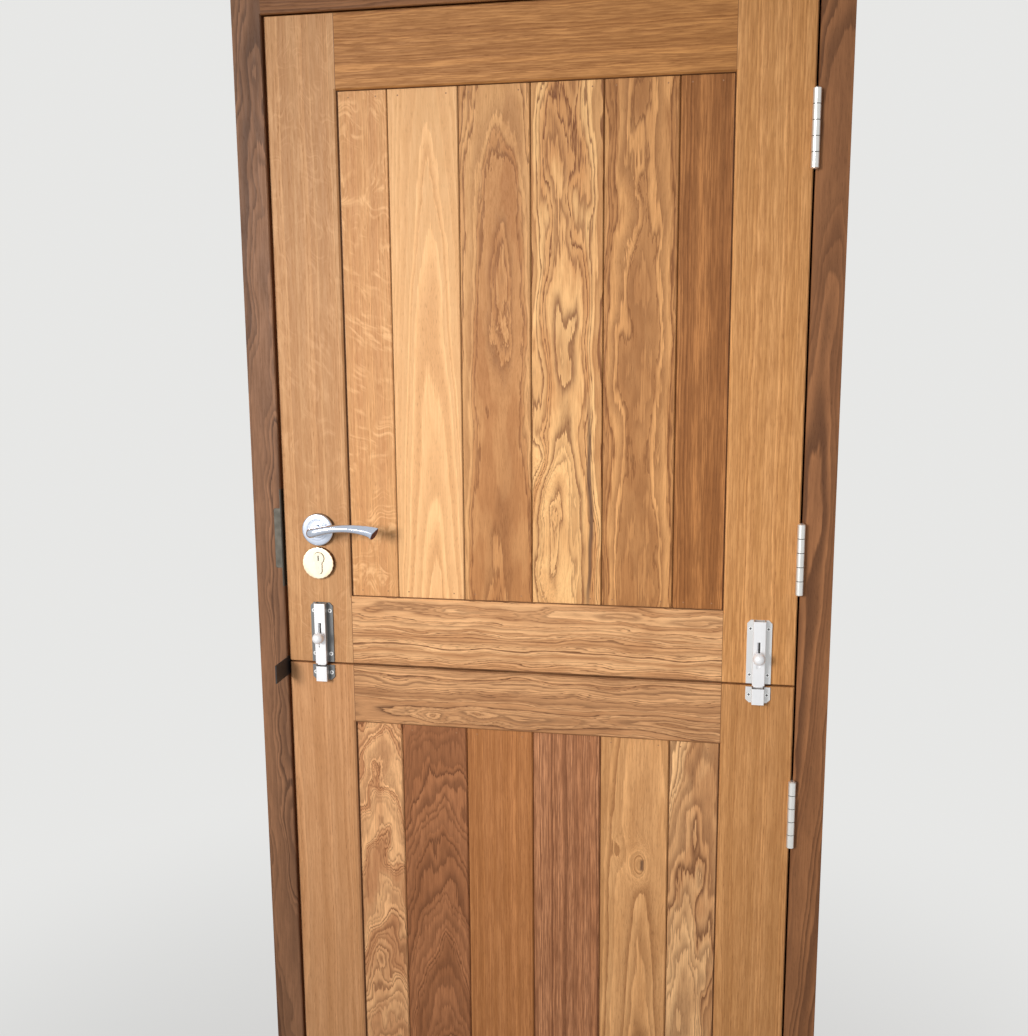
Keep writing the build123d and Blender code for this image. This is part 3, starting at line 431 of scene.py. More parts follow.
def oak_colour_group():
    """Oiled oak's colour, roughness and height from its figure's masks. The Joint mask mixes in painted
    shade: a dark brown at board joints, along arrises and on the walls beside the boards.
    """
    white = (1.0, 1.0, 1.0, 1.0)
    group, t, given, put = build_group("Oak colour", {
        "Light": white, "Dark": white, "Patch": white, "Fleck": white, "Ring": 0.0, "Tone": 0.0,
        "Fine": 0.0, "Broad": 0.0, "Pores": 0.0, "Flecks": 0.0, "Streak": 0.0, "Joint": 0.0,
        "Line share": 0.6, "Fine share": 0.25, "Patch share": 0.3, "Roughness": 0.5},
        {"Colour": white, "Roughness": 0.5, "Height": 0.0})
    ring_shade, ring_range, fleck_share, pore_share = 0.91, 0.18, 0.75, 0.5
    base = t.mix(t.times(given["Broad"], given["Patch share"]), given["Light"], given["Patch"])
    base = t.shaded(base, t.times_plus(given["Tone"], ring_range, ring_shade))
    base = t.mix(t.times(given["Ring"], given["Line share"]), base, given["Dark"])
    fine_tone = t.mix(0.25, given["Dark"], given["Patch"])
    base = t.mix(t.times(given["Fine"], given["Fine share"]), base, fine_tone)
    base = t.mix(t.times(given["Flecks"], fleck_share), base, given["Fleck"])
    base = t.mix(given["Streak"], base, STREAK_COLOUR)
    pore_tone = t.mix(0.5, given["Dark"], PORE_COLOUR)
    base = t.mix(t.times(given["Pores"], pore_share), base, pore_tone)
    # Painted shade: the Joint share mixes the painted shade colour into the oak
    t.feed(put["Colour"], t.mix(given["Joint"], base, JOINT_SHADE_COLOUR))

    pore_roughness, fine_roughness = 0.2, 0.08
    rough = t.times_plus(given["Pores"], pore_roughness, given["Roughness"])
    t.feed(put["Roughness"], t.times_plus(given["Fine"], fine_roughness, rough))

    pore_height, fine_height, ring_height = -1.0, -0.3, -0.3
    height = t.times_plus(given["Fine"], fine_height, t.times(given["Pores"], pore_height))
    t.feed(put["Height"], t.times_plus(given["Ring"], ring_height, height))
    return group


def satin_group():
    """Satin metal: fine drawn lines along one direction and faint clouds, as roughness and tint.

    Places are in metres, and Lines says how many lines a metre holds along each axis."""
    group, t, given, put = build_group("Satin metal", {
        "Place": ORIGIN, "Lines": (900.0, 900.0, 12.0), "Roughness": 0.3, "Line share": 0.1,
        "Cloud share": 0.08, "Tint": (0.8, 0.8, 0.8, 1.0)},
        {"Colour": (0.8, 0.8, 0.8, 1.0), "Roughness": 0.3, "Height": 0.0})
    clouds_a_metre, cloud_tint = 90.0, -1.5
    lines = t.noise(t.vector("MULTIPLY", given["Place"], given["Lines"]), None, 2.0, 0.6)
    clouds = t.noise(t.scaled(given["Place"], clouds_a_metre), None, 3.0, 0.55)
    rough = t.sway(lines, given["Line share"], given["Roughness"])
    t.feed(put["Roughness"], t.sway(clouds, given["Cloud share"], rough))
    shade = t.sway(clouds, t.times(given["Cloud share"], cloud_tint), 1.0)
    t.feed(put["Colour"], t.shaded(given["Tint"], t.sway(lines, given["Line share"], shade)))
    t.feed(put["Height"], lines)
    return group


def shared_groups():
    """The node groups that more than one material uses, made once."""
    makers = {"eye": grain_eye_group, "figure": oak_figure_group, "flecks": ray_fleck_group,
              "oak": oak_colour_group, "satin": satin_group}
    return {name: make() for name, make in makers.items()}


GROUPS = shared_groups()


# Oak of the leaves and the frame

@dataclass
class Oak:
    """How one piece of oak was cut: colours as seen, lengths in millimetres.

    The pith has a place across the piece and a depth in front of it. The wander is how far the
    rings stray, and over what length. Each eye has its place across and along, its half width, its
    half length and its height. The streak has the same without a height."""
    light: tuple
    dark: tuple
    patch: tuple
    pith: tuple = (0.0, 60.0)
    taper: float = 0.03
    lean: float = 0.0
    ring: float = 4.0
    wander: tuple = (4.0, 200.0)
    jag: float = 0.6
    softness: float = 0.6
    lines: float = 0.6
    fine: float = 0.25
    patches: float = 0.3
    flecks: float = 0.0
    fleck_lean: float = 35.0
    seed: float = 0.0
    eyes: tuple = ()
    streak: tuple = ()


UPPER_BOARDS = [
    Oak((228, 170, 112), (170, 110, 64), (208, 148, 96), pith=(-170, 40), taper=0.0, ring=3.6, lines=0.4,
        flecks=0.8, fleck_lean=58, patches=0.6, fine=0.4, seed=1, wander=(6, 260), jag=0.5),
    Oak((248, 194, 136), (200, 142, 90), (234, 178, 120), pith=(3, 70), taper=0.032, ring=4.2, lines=0.65,
        wander=(4, 280), jag=0.6, softness=0.7, patches=0.4, fine=0.3, seed=2),
    Oak((232, 174, 114), (116, 66, 30), (172, 110, 60), pith=(4, 60), taper=0.06, ring=8.0, lines=0.85,
        wander=(12, 150), jag=4.0, softness=0.5, patches=0.75, fine=0.25, seed=3,
        eyes=((4, 120, 42, 170, -30),)),
    Oak((250, 196, 132), (112, 60, 27), (198, 134, 78), pith=(-6, 52), taper=0.02, ring=5.0, lines=0.95,
        wander=(19, 140), jag=2.4, softness=0.4, patches=0.75, fine=0.25, seed=4,
        eyes=((-30, -275, 34, 100, -34), (-38, -150, 16, 30, 12)), streak=(29, -230, 4.5, 190)),
    Oak((230, 168, 106), (112, 64, 28), (160, 102, 54), pith=(0, 50), taper=0.012, ring=6.0, lines=0.8,
        wander=(16, 150), jag=2.8, softness=0.5, patches=0.7, fine=0.3, seed=5,
        eyes=((-12, 179, 13, 42, 12),)),
    Oak((198, 132, 74), (108, 62, 26), (152, 94, 46), pith=(-150, 60), taper=0.0, ring=4.6, lines=0.75,
        wander=(6, 320), jag=1.0, softness=0.6, patches=0.8, fine=0.6, seed=6),
]
LOWER_BOARDS = [
    Oak((248, 190, 134), (112, 64, 34), (176, 110, 68), pith=(4, 84), taper=0.18, ring=2.9, lines=0.9,
        wander=(17, 72), jag=1.6, softness=0.55, patches=0.65, fine=0.3, seed=7,
        eyes=((-8, 330, 34, 46, -14),)),
    Oak((182, 120, 78), (88, 48, 24), (140, 86, 50), pith=(10, 76), taper=0.17, ring=4.2, lines=0.85,
        wander=(10, 80), jag=2.0, softness=0.55, patches=0.6, fine=0.35, seed=8),
    Oak((196, 132, 80), (138, 82, 42), (168, 108, 58), pith=(-190, 60), taper=0.0, ring=3.2, lines=0.5,
        wander=(4, 400), jag=0.6, patches=0.7, fine=0.55, seed=9),
    Oak((210, 146, 102), (94, 52, 28), (160, 102, 64), pith=(170, 50), taper=0.0, ring=4.2, lines=0.85,
        wander=(6, 300), jag=1.0, softness=0.5, patches=0.6, fine=0.65, seed=10),
    Oak((234, 176, 118), (132, 82, 42), (196, 138, 84), pith=(8, 40), taper=0.05, ring=8.5, lines=0.75,
        wander=(7, 200), jag=1.0, softness=0.75, patches=0.65, fine=0.35, seed=11,
        eyes=((6, 170, 13, 26, 30), (-23, 192, 12, 30, 10)), streak=(7, 170, 5, 12)),
    Oak((252, 198, 140), (92, 50, 26), (184, 124, 76), pith=(-12, 58), taper=0.07, lean=0.1, ring=5.0,
        lines=0.95, wander=(17, 130), jag=2.2, softness=0.6, patches=0.7, fine=0.35, seed=12),
]
STILES = {
    "upper_lock_stile": Oak(
        (214, 162, 112), (156, 102, 58), (192, 138, 90), pith=(-180, 40), taper=0.002, ring=6.0,
        lines=0.35, wander=(7, 420), jag=1.0, patches=0.7, fine=0.34, flecks=0.3, seed=13),
    "upper_hinge_stile": Oak(
        (232, 170, 108), (150, 94, 46), (204, 144, 84), pith=(170, 40), taper=0.002, ring=6.5, lines=0.55,
        wander=(8, 420), jag=1.0, patches=0.7, fine=0.6, seed=14),
    "lower_lock_stile": Oak(
        (216, 160, 112), (160, 106, 62), (196, 140, 92), pith=(-60, 40), taper=0.01, ring=6.0, lines=0.45,
        wander=(9, 380), jag=1.0, patches=0.7, fine=0.35, seed=15),
    "lower_hinge_stile": Oak(
        (212, 154, 98), (148, 94, 48), (186, 130, 76), pith=(150, 40), taper=0.002, ring=5.0, lines=0.55,
        wander=(8, 420), jag=1.0, patches=0.7, fine=0.5, seed=16),
}
RAILS = {
    "upper_top_rail": Oak(
        (206, 144, 82), (124, 72, 32), (176, 118, 62), pith=(150, 40), taper=0.0, ring=5.0, lines=0.7,
        wander=(8, 240), jag=1.8, patches=0.7, fine=0.6, seed=17),
    "upper_meeting_rail": Oak(
        (246, 190, 135), (96, 56, 30), (190, 132, 84), pith=(30, 34), taper=0.02, ring=3.4, lines=1.0,
        wander=(14, 110), jag=2.2, softness=0.4, patches=0.75, fine=0.3, seed=18),
    "lower_meeting_rail": Oak(
        (229, 172, 120), (84, 50, 28), (170, 117, 75), pith=(-16, 30), taper=0.02, ring=3.6, lines=1.05,
        wander=(15, 110), jag=2.0, softness=0.42, patches=0.8, fine=0.3, seed=19,
        eyes=((-20, 118, 14, 46, -20),)),
    "lower_bottom_rail": Oak(
        (208, 150, 94), (132, 82, 42), (182, 124, 74), pith=(60, 60), taper=0.01, ring=6.0, lines=0.7,
        wander=(10, 260), jag=1.4, patches=0.7, fine=0.5, seed=20),
}
# The side of each stile and rail, across its grain, where the boards are
PANEL_SIDES = {"upper_lock_stile": 1.0, "upper_hinge_stile": -1.0, "lower_lock_stile": 1.0,
               "lower_hinge_stile": -1.0, "upper_top_rail": -1.0, "upper_meeting_rail": 1.0,
               "lower_meeting_rail": -1.0, "lower_bottom_rail": 1.0}
FRAME = {
    "jamb_lock": Oak(
        (156, 110, 78), (70, 43, 27), (118, 80, 54), pith=(24, 44), taper=0.06, ring=7.0, lines=0.95,
        wander=(18, 120), jag=1.8, softness=0.65, patches=0.7, fine=0.3, seed=21),
    "jamb_hinge": Oak(
        (164, 110, 70), (76, 44, 24), (128, 82, 50), pith=(-34, 44), taper=0.06, lean=0.06, ring=9.0,
        lines=0.9, wander=(20, 230), jag=1.2, softness=0.75, patches=0.7, fine=0.25, seed=22),
    "head": Oak(
        (152, 100, 58), (86, 50, 26), (126, 80, 44), pith=(60, 50), taper=0.01, ring=6.0, lines=0.7,
        wander=(11, 240), jag=1.5, patches=0.7, fine=0.4, seed=23),
    "sill": Oak(
        (146, 96, 58), (84, 50, 26), (120, 76, 44), pith=(-50, 50), taper=0.01, ring=6.0, lines=0.7,
        wander=(11, 240), jag=1.5, patches=0.7, fine=0.4, seed=24),
    "frame_stops": Oak(
        (150, 98, 58), (86, 50, 26), (124, 80, 44), pith=(300, 50), taper=0.0, ring=5.0, lines=0.6,
        wander=(10, 300), jag=1.2, patches=0.7, fine=0.4, seed=25),
}


def tinted(seen, tint):
    """A seen colour, warmed or cooled by the tint that a user sets."""
    red, green, blue, _ = colour(*seen)
    return (red * tint[0], green * tint[1], blue * tint[2], 1.0)


def board_place(t, centre, lying):
    """Object coordinates as the board's own millimetres: X across, Y its depth, Z along the grain."""
    turn = Euler((0.0, radians(90) if lying else 0.0, 0.0))
    shift = turn.to_matrix() @ centre
    mapping = t.feed_all(t.add("ShaderNodeMapping"), {
        "Vector": t.object_place(), "Location": tuple(-shift / MILLIMETRE), "Rotation": turn,
        "Scale": (1 / MILLIMETRE,) * 3})
    return mapping[0]


def streak_mask(t, place, streak):
    """A dark mineral streak: its place across, its middle along, its half width and half length."""
    sideways, full, core_width, core_length = 20.0, 0.85, 0.2, 0.5
    across, along, half_width, half_length = streak
    x, _, z = t.split(place)
    x = t.sway(t.noise(place, (60, 60, 120)), sideways, x)
    aside = t.math("ABSOLUTE", t.minus(x, across))
    off = t.math("ABSOLUTE", t.minus(z, along))
    core = t.times(t.step(aside, core_width * half_width, half_width, 1.0, 0.0),
                   t.step(off, core_length * half_length, half_length, 1.0, 0.0))
    return t.times(core, full)


def joint_shade_mask(t, place, half_width, reach, face_depth):
    """Paints shade on the last part of a piece's front and back at its long edges: painted shade for the
    V-joints between boards and along the arrises of stiles and rails.

    What lies less deep than the face is left as it is, so that an open leaf's edges stay pale. With
    a face depth of nought the whole edge darkens."""
    full, soft_reach, face_start, face_end = 0.85, 0.4, 0.5, 0.2
    x, y, _ = t.split(place)
    aside, deep = t.math("ABSOLUTE", x), t.math("ABSOLUTE", y)
    near_edge = t.step(aside, half_width - reach, half_width - soft_reach * reach, 0.0, full)
    on_face = t.step(deep, face_depth - face_start, face_depth - face_end)
    return t.times(near_edge, on_face)


def recess_mask(t, place, side, wall, face_depth, recess):
    """Shades the shallow wall beside the boards, and the fine edge of the face next to it.

    The side is 1 or -1 across the piece, the wall is how far out it stands, and the recess is how
    far the boards lie behind the face."""
    full, fade = 0.75, 0.5
    rise_start, rise_end, fall_start, fall_end = -1.1, -0.5, 0.3, 0.6
    x, y, _ = t.split(place)
    towards = t.times(x, side)
    near_wall = t.times(t.step(towards, wall + rise_start, wall + rise_end),
                        t.step(towards, wall + fall_start, wall + fall_end, 1.0, 0.0))
    recess_floor = recess - face_depth
    return t.times(near_wall, t.step(y, recess_floor, recess_floor + fade, full, 0.0))


def oak_material(name, oak, centre, lying, settings, joint=None, recess=None):
    """A piece's own oak, from the shared figure, fleck and colour groups."""
    fleck_lift, gloss, relief_depth = 30, 0.25, 0.15
    material, t, shader = new_material(name)
    shader.inputs["Specular IOR Level"].default_value = gloss
    board = place = board_place(t, centre, lying)
    for across, along, half_width, half_length, height in oak.eyes:
        place = t.place(GROUPS["eye"], {"Place": place, "Across": across, "Along": along,
                                        "Half width": half_width, "Half length": half_length,
                                        "Height": height})["Place"]
    figure = t.place(GROUPS["figure"], {
        "Place": place, "Seed": oak.seed, "Pith across": oak.pith[0], "Pith depth": oak.pith[1],
        "Taper": oak.taper, "Lean": oak.lean, "Ring width": oak.ring, "Wander": oak.wander[0],
        "Wander length": oak.wander[1], "Jag": oak.jag, "Softness": oak.softness})
    fleck = [min(255, part + fleck_lift) for part in oak.light]
    tones = {"Light": oak.light, "Dark": oak.dark, "Patch": oak.patch, "Fleck": fleck}
    values = {label: tinted(seen, settings.tint) for label, seen in tones.items()}
    values |= {label: figure[label] for label in ("Ring", "Tone", "Fine", "Broad", "Pores")}
    values |= {"Line share": oak.lines * settings.figure, "Fine share": oak.fine,
               "Patch share": oak.patches, "Roughness": settings.roughness}
    if oak.flecks:
        flecks = t.place(GROUPS["flecks"], {"Place": place, "Seed": oak.seed, "Lean": oak.fleck_lean})
        values["Flecks"] = t.times(flecks["Flecks"], oak.flecks)
    if oak.streak:
        values["Streak"] = streak_mask(t, place, oak.streak)
    # Painted shade at board joints, arrises and the walls beside the boards, carried in the Joint share
    if joint:
        values["Joint"] = joint_shade_mask(t, board, *joint)
    if recess:
        values["Joint"] = t.math("MAXIMUM", values["Joint"], recess_mask(t, board, *recess))
    apply_finish(t, shader, t.place(GROUPS["oak"], values), settings.bump, relief_depth)
    return material


def dress(material, *nodes):
    """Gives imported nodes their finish."""
    for node in nodes:
        mesh = NODES[node].data
        mesh.materials.clear()
        mesh.materials.append(material)


# Metals and plastic

def metal_material(name, seen, roughness, lines=(900.0, 900.0, 12.0), line_share=0.1, cloud_share=0.08,
                   metallic=1.0):
    """A satin metal with drawn lines, so many a metre along each axis, and faint clouds."""
    relief, relief_depth = 0.05, 0.05
    material, t, shader = new_material(name)
    shader.inputs["Metallic"].default_value = metallic
    finish = t.place(GROUPS["satin"], {
        "Place": t.object_place(), "Lines": lines, "Roughness": roughness, "Line share": line_share,
        "Cloud share": cloud_share, "Tint": colour(*seen)})
    apply_finish(t, shader, finish, relief, relief_depth)
    return material


def base_colour(material):
    """A finished material's tree, its Base Color input and the tone that feeds it so far."""
    socket = material.node_tree.nodes["Principled BSDF"].inputs["Base Color"]
    return Tree(material.node_tree), socket, socket.links[0].from_socket


def proud_of_face(t):
    """How far a point stands proud of the leaf's outer or inner face, in millimetres."""
    _, depth, _ = t.split(t.object_place())
    return t.over(t.math("MAXIMUM", t.minus(LEAF_FACE, depth), t.minus(depth, LEAF_BACK)), MILLIMETRE)


def shade_below(material, seen, level, soft, lowest=None):
    """Paints shade on what stands less proud of the leaf than a level: the sides and low parts of a piece
    take a darker tone, a painted shade and painted dark reflection.

    With a lowest level, only what stands between the two is dulled."""
    t, socket, bright = base_colour(material)
    proud = proud_of_face(t)
    share = t.step(proud, level - soft, level + soft, 1.0, 0.0)
    if lowest is not None:
        share = t.times(share, t.step(proud, lowest - soft, lowest + soft))
    t.feed(socket, t.mix(share, bright, colour(*seen)))


def bolt_material(name, aluminium, flank, flange_shade):
    """Bright aluminium with painted shade: duller on the channel's flanks, and the flanges in a painted
    tone for how they are lit, grey where shaded and near white where lit.
    """
    channel, flange_top = 11.5, 3.0
    material = metal_material(name, aluminium, 0.4, (800.0, 800.0, 10.0), 0.12, metallic=0.7)
    shade_below(material, (flank,) * 3, channel, 0.6)
    shade_below(material, (flange_shade,) * 3, flange_top, 0.3)
    return material


def leaf_screw_material():
    """Bright screws, with painted shade in the recesses of their heads."""
    plate, recess_rim, lowest = 2.0, 0.35, 0.2
    material = metal_material("screw_steel", (246, 246, 246), 0.34, (600.0, 600.0, 600.0), 0.08,
                              metallic=0.7)
    # Painted shade in the recesses of the screw heads
    shade_below(material, (38, 36, 36), plate - recess_rim, 0.15, lowest)
    return material


def frame_screw_material():
    """Bright screws, and painted shade on the washers, which stand in front of the leaf's face."""
    in_face, in_front = 0.4, 0.6
    material = metal_material("screws_and_washers", (196, 194, 190), 0.32)
    t, socket, bright = base_colour(material)
    # Painted shade on the washers
    washer_shade = t.step(proud_of_face(t), in_face, in_front)
    t.feed(socket, t.mix(washer_shade, bright, colour(84, 80, 76)))
    return material


def rod_material(name, aluminium, centre_x, rod_top, knob_z):
    """Bright knob and rod, with a painted shadow of the slot: a dark line along the rod above its knob.

    The rod's top is in millimetres proud of the leaf, the other places are in metres."""
    slot_shade_core, slot_shade_edge, fade_in, skin = 1.2 * MILLIMETRE, 1.7 * MILLIMETRE, 2 * MILLIMETRE, 0.4
    material = metal_material(name, aluminium, 0.45, (500.0, 500.0, 500.0), 0.05, metallic=0.25)
    t, socket, bright = base_colour(material)
    across, _, height = t.split(t.object_place())
    aside = t.math("ABSOLUTE", t.minus(across, centre_x))
    on_rod = t.step(proud_of_face(t), rod_top, rod_top + skin, 1.0, 0.0)
    # Painted shadow of the slot: the groove here is a dark line painted on the rod, not a cut in it
    groove = t.times(on_rod, t.step(aside, slot_shade_core, slot_shade_edge, 1.0, 0.0))
    groove = t.times(groove, t.step(height, knob_z, knob_z + fade_in))
    t.feed(socket, t.mix(groove, bright, colour(46, 44, 44)))
    return material


def packer_material():
    """Near-black flat plastic with a faint sheen and scuffs."""
    scuffs_a_metre = (260.0, 260.0, 900.0)
    material, t, shader = new_material("dark_plastic")
    scuffs = t.noise(t.vector("MULTIPLY", t.object_place(), scuffs_a_metre), None, 4.0, 0.6)
    tone = t.mix(t.step(scuffs, 0.55, 0.8), colour(34, 30, 31), colour(64, 58, 57))
    t.feed_all(shader, {"Base Color": tone, "Roughness": t.step(scuffs, 0.2, 0.8, 0.42, 0.6)})
    return material


# Settings that a user would change

def length_setting(name, description, default, lowest, highest, precision=4):
    """A length in metres."""
    return FloatProperty(name=name, description=description, default=default, min=lowest, max=highest,
                         unit="LENGTH", precision=precision)


def share_setting(name, description, default, lowest, highest):
    """A plain factor with a slider."""
    return FloatProperty(name=name, description=description, default=default, min=lowest, max=highest,
                         subtype="FACTOR")


def tone_setting(name, description, default):
    """A colour as it is seen, from 0 to 1."""
    return FloatVectorProperty(name=name, description=description, subtype="COLOR_GAMMA", default=default,
                               min=0.0, max=1.0)


def power_setting(name, description, default):
    """A lamp's power in watts."""
    return FloatProperty(name=name, description=description, default=default, min=0.0, max=1000.0,
                         unit="POWER")


class OakSettings(bpy.types.PropertyGroup):
    """How all the oak is finished."""
    tint: FloatVectorProperty(name="Tint", description="Multiplies every oak colour", subtype="COLOR",
                              default=(1.0, 1.0, 1.0), min=0.0, max=2.0)
    figure: share_setting("Figure", "Strength of the growth rings' lines", 1.0, 0.0, 1.5)
    roughness: share_setting("Roughness", "Roughness of the oiled face", 0.5, 0.05, 1.0)
    bump: share_setting("Grain depth", "Strength of the grain's relief", 0.35, 0.0, 1.0)
    joint_reach: length_setting("Joint shade", "Width of the dark line at a board's edge", 0.0016,
                                0.0, 0.005)
    arris_reach: length_setting("Arris shade", "Width of the dark line at a stile's or rail's edge",
                                0.0019, 0.0, 0.005)


class HandleSettings(bpy.types.PropertyGroup):
    """The levers, roses and escutcheons."""
    chrome: tone_setting("Chrome", "Colour of the levers and roses as seen", (0.79, 0.82, 0.88))
    facet_start: length_setting("Facet start", "Distance from the spindle where the facet begins", 0.038,
                                0.02, 0.08)
    facet_depth: share_setting("Facet depth", "How deep the facet cuts at the tip", 0.40, 0.0, 0.8)
    tip_slant: share_setting("Tip slant", "Lean of the lever's end face", 0.22, 0.0, 1.0)
    tip_bevel: share_setting("Tip bevel", "How far the end face turns away from the door", 0.6, 0.0, 1.5)
    scallop_count: IntProperty(name="Scallops", description="Shallow scallops round the escutcheon's rim",
                               default=22, min=0, max=60)
    scallop_depth: length_setting("Scallop depth", "Depth of one scallop", 0.00045, 0.0, 0.002, 5)


class BoltSettings(bpy.types.PropertyGroup):
    """The surface bolts."""
    aluminium: tone_setting("Aluminium", "Colour of the bolts as seen", (0.94, 0.94, 0.95))
    knob_flat: length_setting("Knob flat", "Radius of the small flat on a knob's front", 0.0022,
                              0.0, 0.006)


class StageSettings(bpy.types.PropertyGroup):
    """Camera, floor and light."""
    background: share_setting("Background", "Tone of the background, where 1 is white", 0.80, 0.0, 1.0)
    fill: FloatProperty(name="Fill", description="Strength of the even light from all round", default=0.38,
                        min=0.0, max=2.0)
    key: power_setting("Key light", "Power of the soft light from the front left", 9.0)
    back: power_setting("Back light", "Power of the soft light from behind the door", 75.0)
    floor_radius: length_setting("Floor radius", "Radius of the round floor", 9.0, 3.0, 40.0, 2)


SETTINGS = {"door_oak": OakSettings, "door_handles": HandleSettings, "door_bolts": BoltSettings,
            "door_stage": StageSettings}


# Operators: one for each piece or group of like pieces

class DressLeaves(bpy.types.Operator):
    """Gives each board, stile and rail of both leaves its own oak"""
    bl_idname = "stable_door.dress_leaves"
    bl_label = "Dress the leaves"

    def execute(self, context):
        settings = context.scene.door_oak
        joint_reach = settings.joint_reach / MILLIMETRE
        arris_reach = settings.arris_reach / MILLIMETRE
        for leaf, boards in (("upper", UPPER_BOARDS), ("lower", LOWER_BOARDS)):
            for number, oak in enumerate(boards, 1):
                node = f"{leaf}_board_{number}"
                joint = (half_size(node).x, joint_reach, 0.0)
                dress(oak_material(f"oak_{node}", oak, middle(node), False, settings, joint), node)
        ledge, board_recess = 15.0, 5.0
        for looks, lying in ((STILES, False), (RAILS, True)):
            for node, oak in looks.items():
                half = half_size(node)
                across = half.z if lying else half.x
                joint = (across, arris_reach, half.y)
                recess = (PANEL_SIDES[node], across - ledge, half.y, board_recess)
                dress(oak_material(f"oak_{node}", oak, middle(node), lying, settings, joint, recess), node)
        return {"FINISHED"}


class DressFrame(bpy.types.Operator):
    """Gives the jambs, head, sill and stops their darker oak"""
    bl_idname = "stable_door.dress_frame"
    bl_label = "Dress the frame"

    def execute(self, context):
        settings = context.scene.door_oak
        for node, oak in FRAME.items():
            lying = node in ("head", "sill")
            dress(oak_material(f"oak_{node}", oak, middle(node), lying, settings), node)
        return {"FINISHED"}


# How far a lever reaches along the door, and the radius of the bend by its neck, in millimetres
LEVER_REACH, LEVER_BEND = 105.0, 10.0


def lever_path():
    """The lever's centre line: its points, and at each its turn from the neck and its slope.

    It leaves the door straight, turns through a quarter circle, and rises and falls as a shallow
    parabola."""
    projection, rise, apex, neck_start = 42.0, 9.5, 57.0, 1.0
    bend_stations, grip_stations = 12, 44
    bend_angle = np.linspace(0, pi / 2, bend_stations)
    grip_x = np.linspace(LEVER_BEND, LEVER_REACH, grip_stations)[1:]
    turn = np.concatenate([[0.0], bend_angle, np.full(grip_x.size, pi / 2)])
    x = np.concatenate([[0.0], LEVER_BEND * (1 - np.cos(bend_angle)), grip_x])
    height = np.concatenate([[neck_start], projection - LEVER_BEND * (1 - np.sin(bend_angle)),
                             np.full(grip_x.size, projection)])
    z = rise * (1 - ((x - apex) / apex) ** 2)
    neck = slice(bend_stations + 1)
    z[neck] = z[bend_stations] * (1 - np.cos(turn[neck]))
    slope = 2 * rise * (apex - x) / apex ** 2 * np.sin(turn)
    return np.stack([x, height, z], 1), turn, slope


def lever_section(x, turn, settings):
    """How far each ring's points stand in front of the centre line and above it, and its half sizes.

    The round neck becomes a flatter grip. Its half height narrows to a waist and widens to the tip,
    and a plane cuts its upper front corner ever deeper towards the tip, which gives the long facet."""
    neck, root, waist, waist_at, tip, thin_tip = 7.5, 7.2, 5.6, 48.0, 9.2, 4.6
    side_count, facet_turn, round_exponent, squarer = 64, radians(38), 2, 0.5
    bend_share = np.sin(turn)
    before = waist + (root - waist) * ((waist_at - x) / waist_at).clip(0) ** 2
    after = waist + (tip - waist) * ((x - waist_at) / (LEVER_REACH - waist_at)).clip(0) ** 2
    half_high = neck + (np.where(x < waist_at, before, after) - neck) * bend_share
    grip_share = ((x - LEVER_BEND) / (LEVER_REACH - LEVER_BEND)).clip(0)
    half_thick = neck + (thin_tip - neck) * grip_share

    angle = np.linspace(0, 2 * pi, side_count, endpoint=False)[None, :]
    front, high = superellipse(angle, (round_exponent + squarer * bend_share)[:, None])
    front, high = front * half_thick[:, None], high * half_high[:, None]
    facet = np.cos(facet_turn), np.sin(facet_turn)
    along_facet = front * facet[0] + high * facet[1]
    start = settings.facet_start / MILLIMETRE
    depth = settings.facet_depth * ((x - start) / (LEVER_REACH - start)).clip(0) ** 0.8
    past = (along_facet - (along_facet.max(1) * (1 - depth))[:, None]).clip(0)
    return front - past * facet[0], high - past * facet[1], half_thick, half_high


def lever_points(settings):
    """Rings of the lever, each square to the centre line.

    Near the tip they lean by the slant and turn by the bevel, so that the end face does too."""
    centre, turn, slope = lever_path()
    x = centre[:, 0]
    front, high, half_thick, half_high = lever_section(x, turn, settings)
    tangent = unit_rows(np.stack([np.sin(turn), np.cos(turn), slope], 1))
    outward = np.stack([-np.cos(turn), np.sin(turn), np.zeros(x.size)], 1)
    outward = unit_rows(outward - (outward * tangent).sum(1)[:, None] * tangent)
    upward = np.cross(outward, tangent)
    upward *= np.sign(upward[:, 2:3])
    points = centre[:, None] + front[..., None] * outward[:, None] + high[..., None] * upward[:, None]
    slant_start = 0.8 * LEVER_REACH
    near_tip = ((x - slant_start) / (LEVER_REACH - slant_start)).clip(0)[:, None] ** 2
    points[..., 0] += settings.tip_slant * near_tip * (high - half_high[:, None])
    points[..., 0] -= settings.tip_bevel * near_tip * (front + half_thick[:, None])
    return points


def rounded_tip(points):
    """Adds a small ring inside the last one, so that the lever's end has a fine rounded edge."""
    share, bulge = 0.93, 0.35
    last = points[-1]
    centre = last.mean(0)
    rim = centre + (last - centre) * share + np.array([bulge, 0.0, 0.0])
    return np.concatenate([points, rim[None]])


class BuildLevers(bpy.types.Operator):
    """Builds the arched lever on each side of the upper leaf"""
    bl_idname = "stable_door.build_levers"
    bl_label = "Build the levers"

    def execute(self, context):
        settings = context.scene.door_handles
        chrome_colour = seen_colour(settings.chrome)
        chrome = metal_material("satin_chrome_lever", chrome_colour, 0.24, (60.0, 700.0, 700.0))
        # Painted reflection: the lever's end face is dark reddish for the wood it reflects
        end_face_reflection = metal_material("lever_end_painted_reflection", (96, 72, 72), 0.4)
        points = rounded_tip(lever_points(settings)) * MILLIMETRE
        for name, face, out in LEAF_SIDES:
            placed = points * (1, out, 1) + (SPINDLE.x, face, SPINDLE.z)
            faces = tube_faces(*placed.shape[:2])
            lever = new_object(f"lever_handle_{name}", placed.reshape(-1, 3), faces, chrome, radians(32))
            lever.data.materials.append(end_face_reflection)
            lever.data.polygons[-1].material_index = 1
            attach(lever, "lever")
            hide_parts(f"lever_{name}")
        return {"FINISHED"}


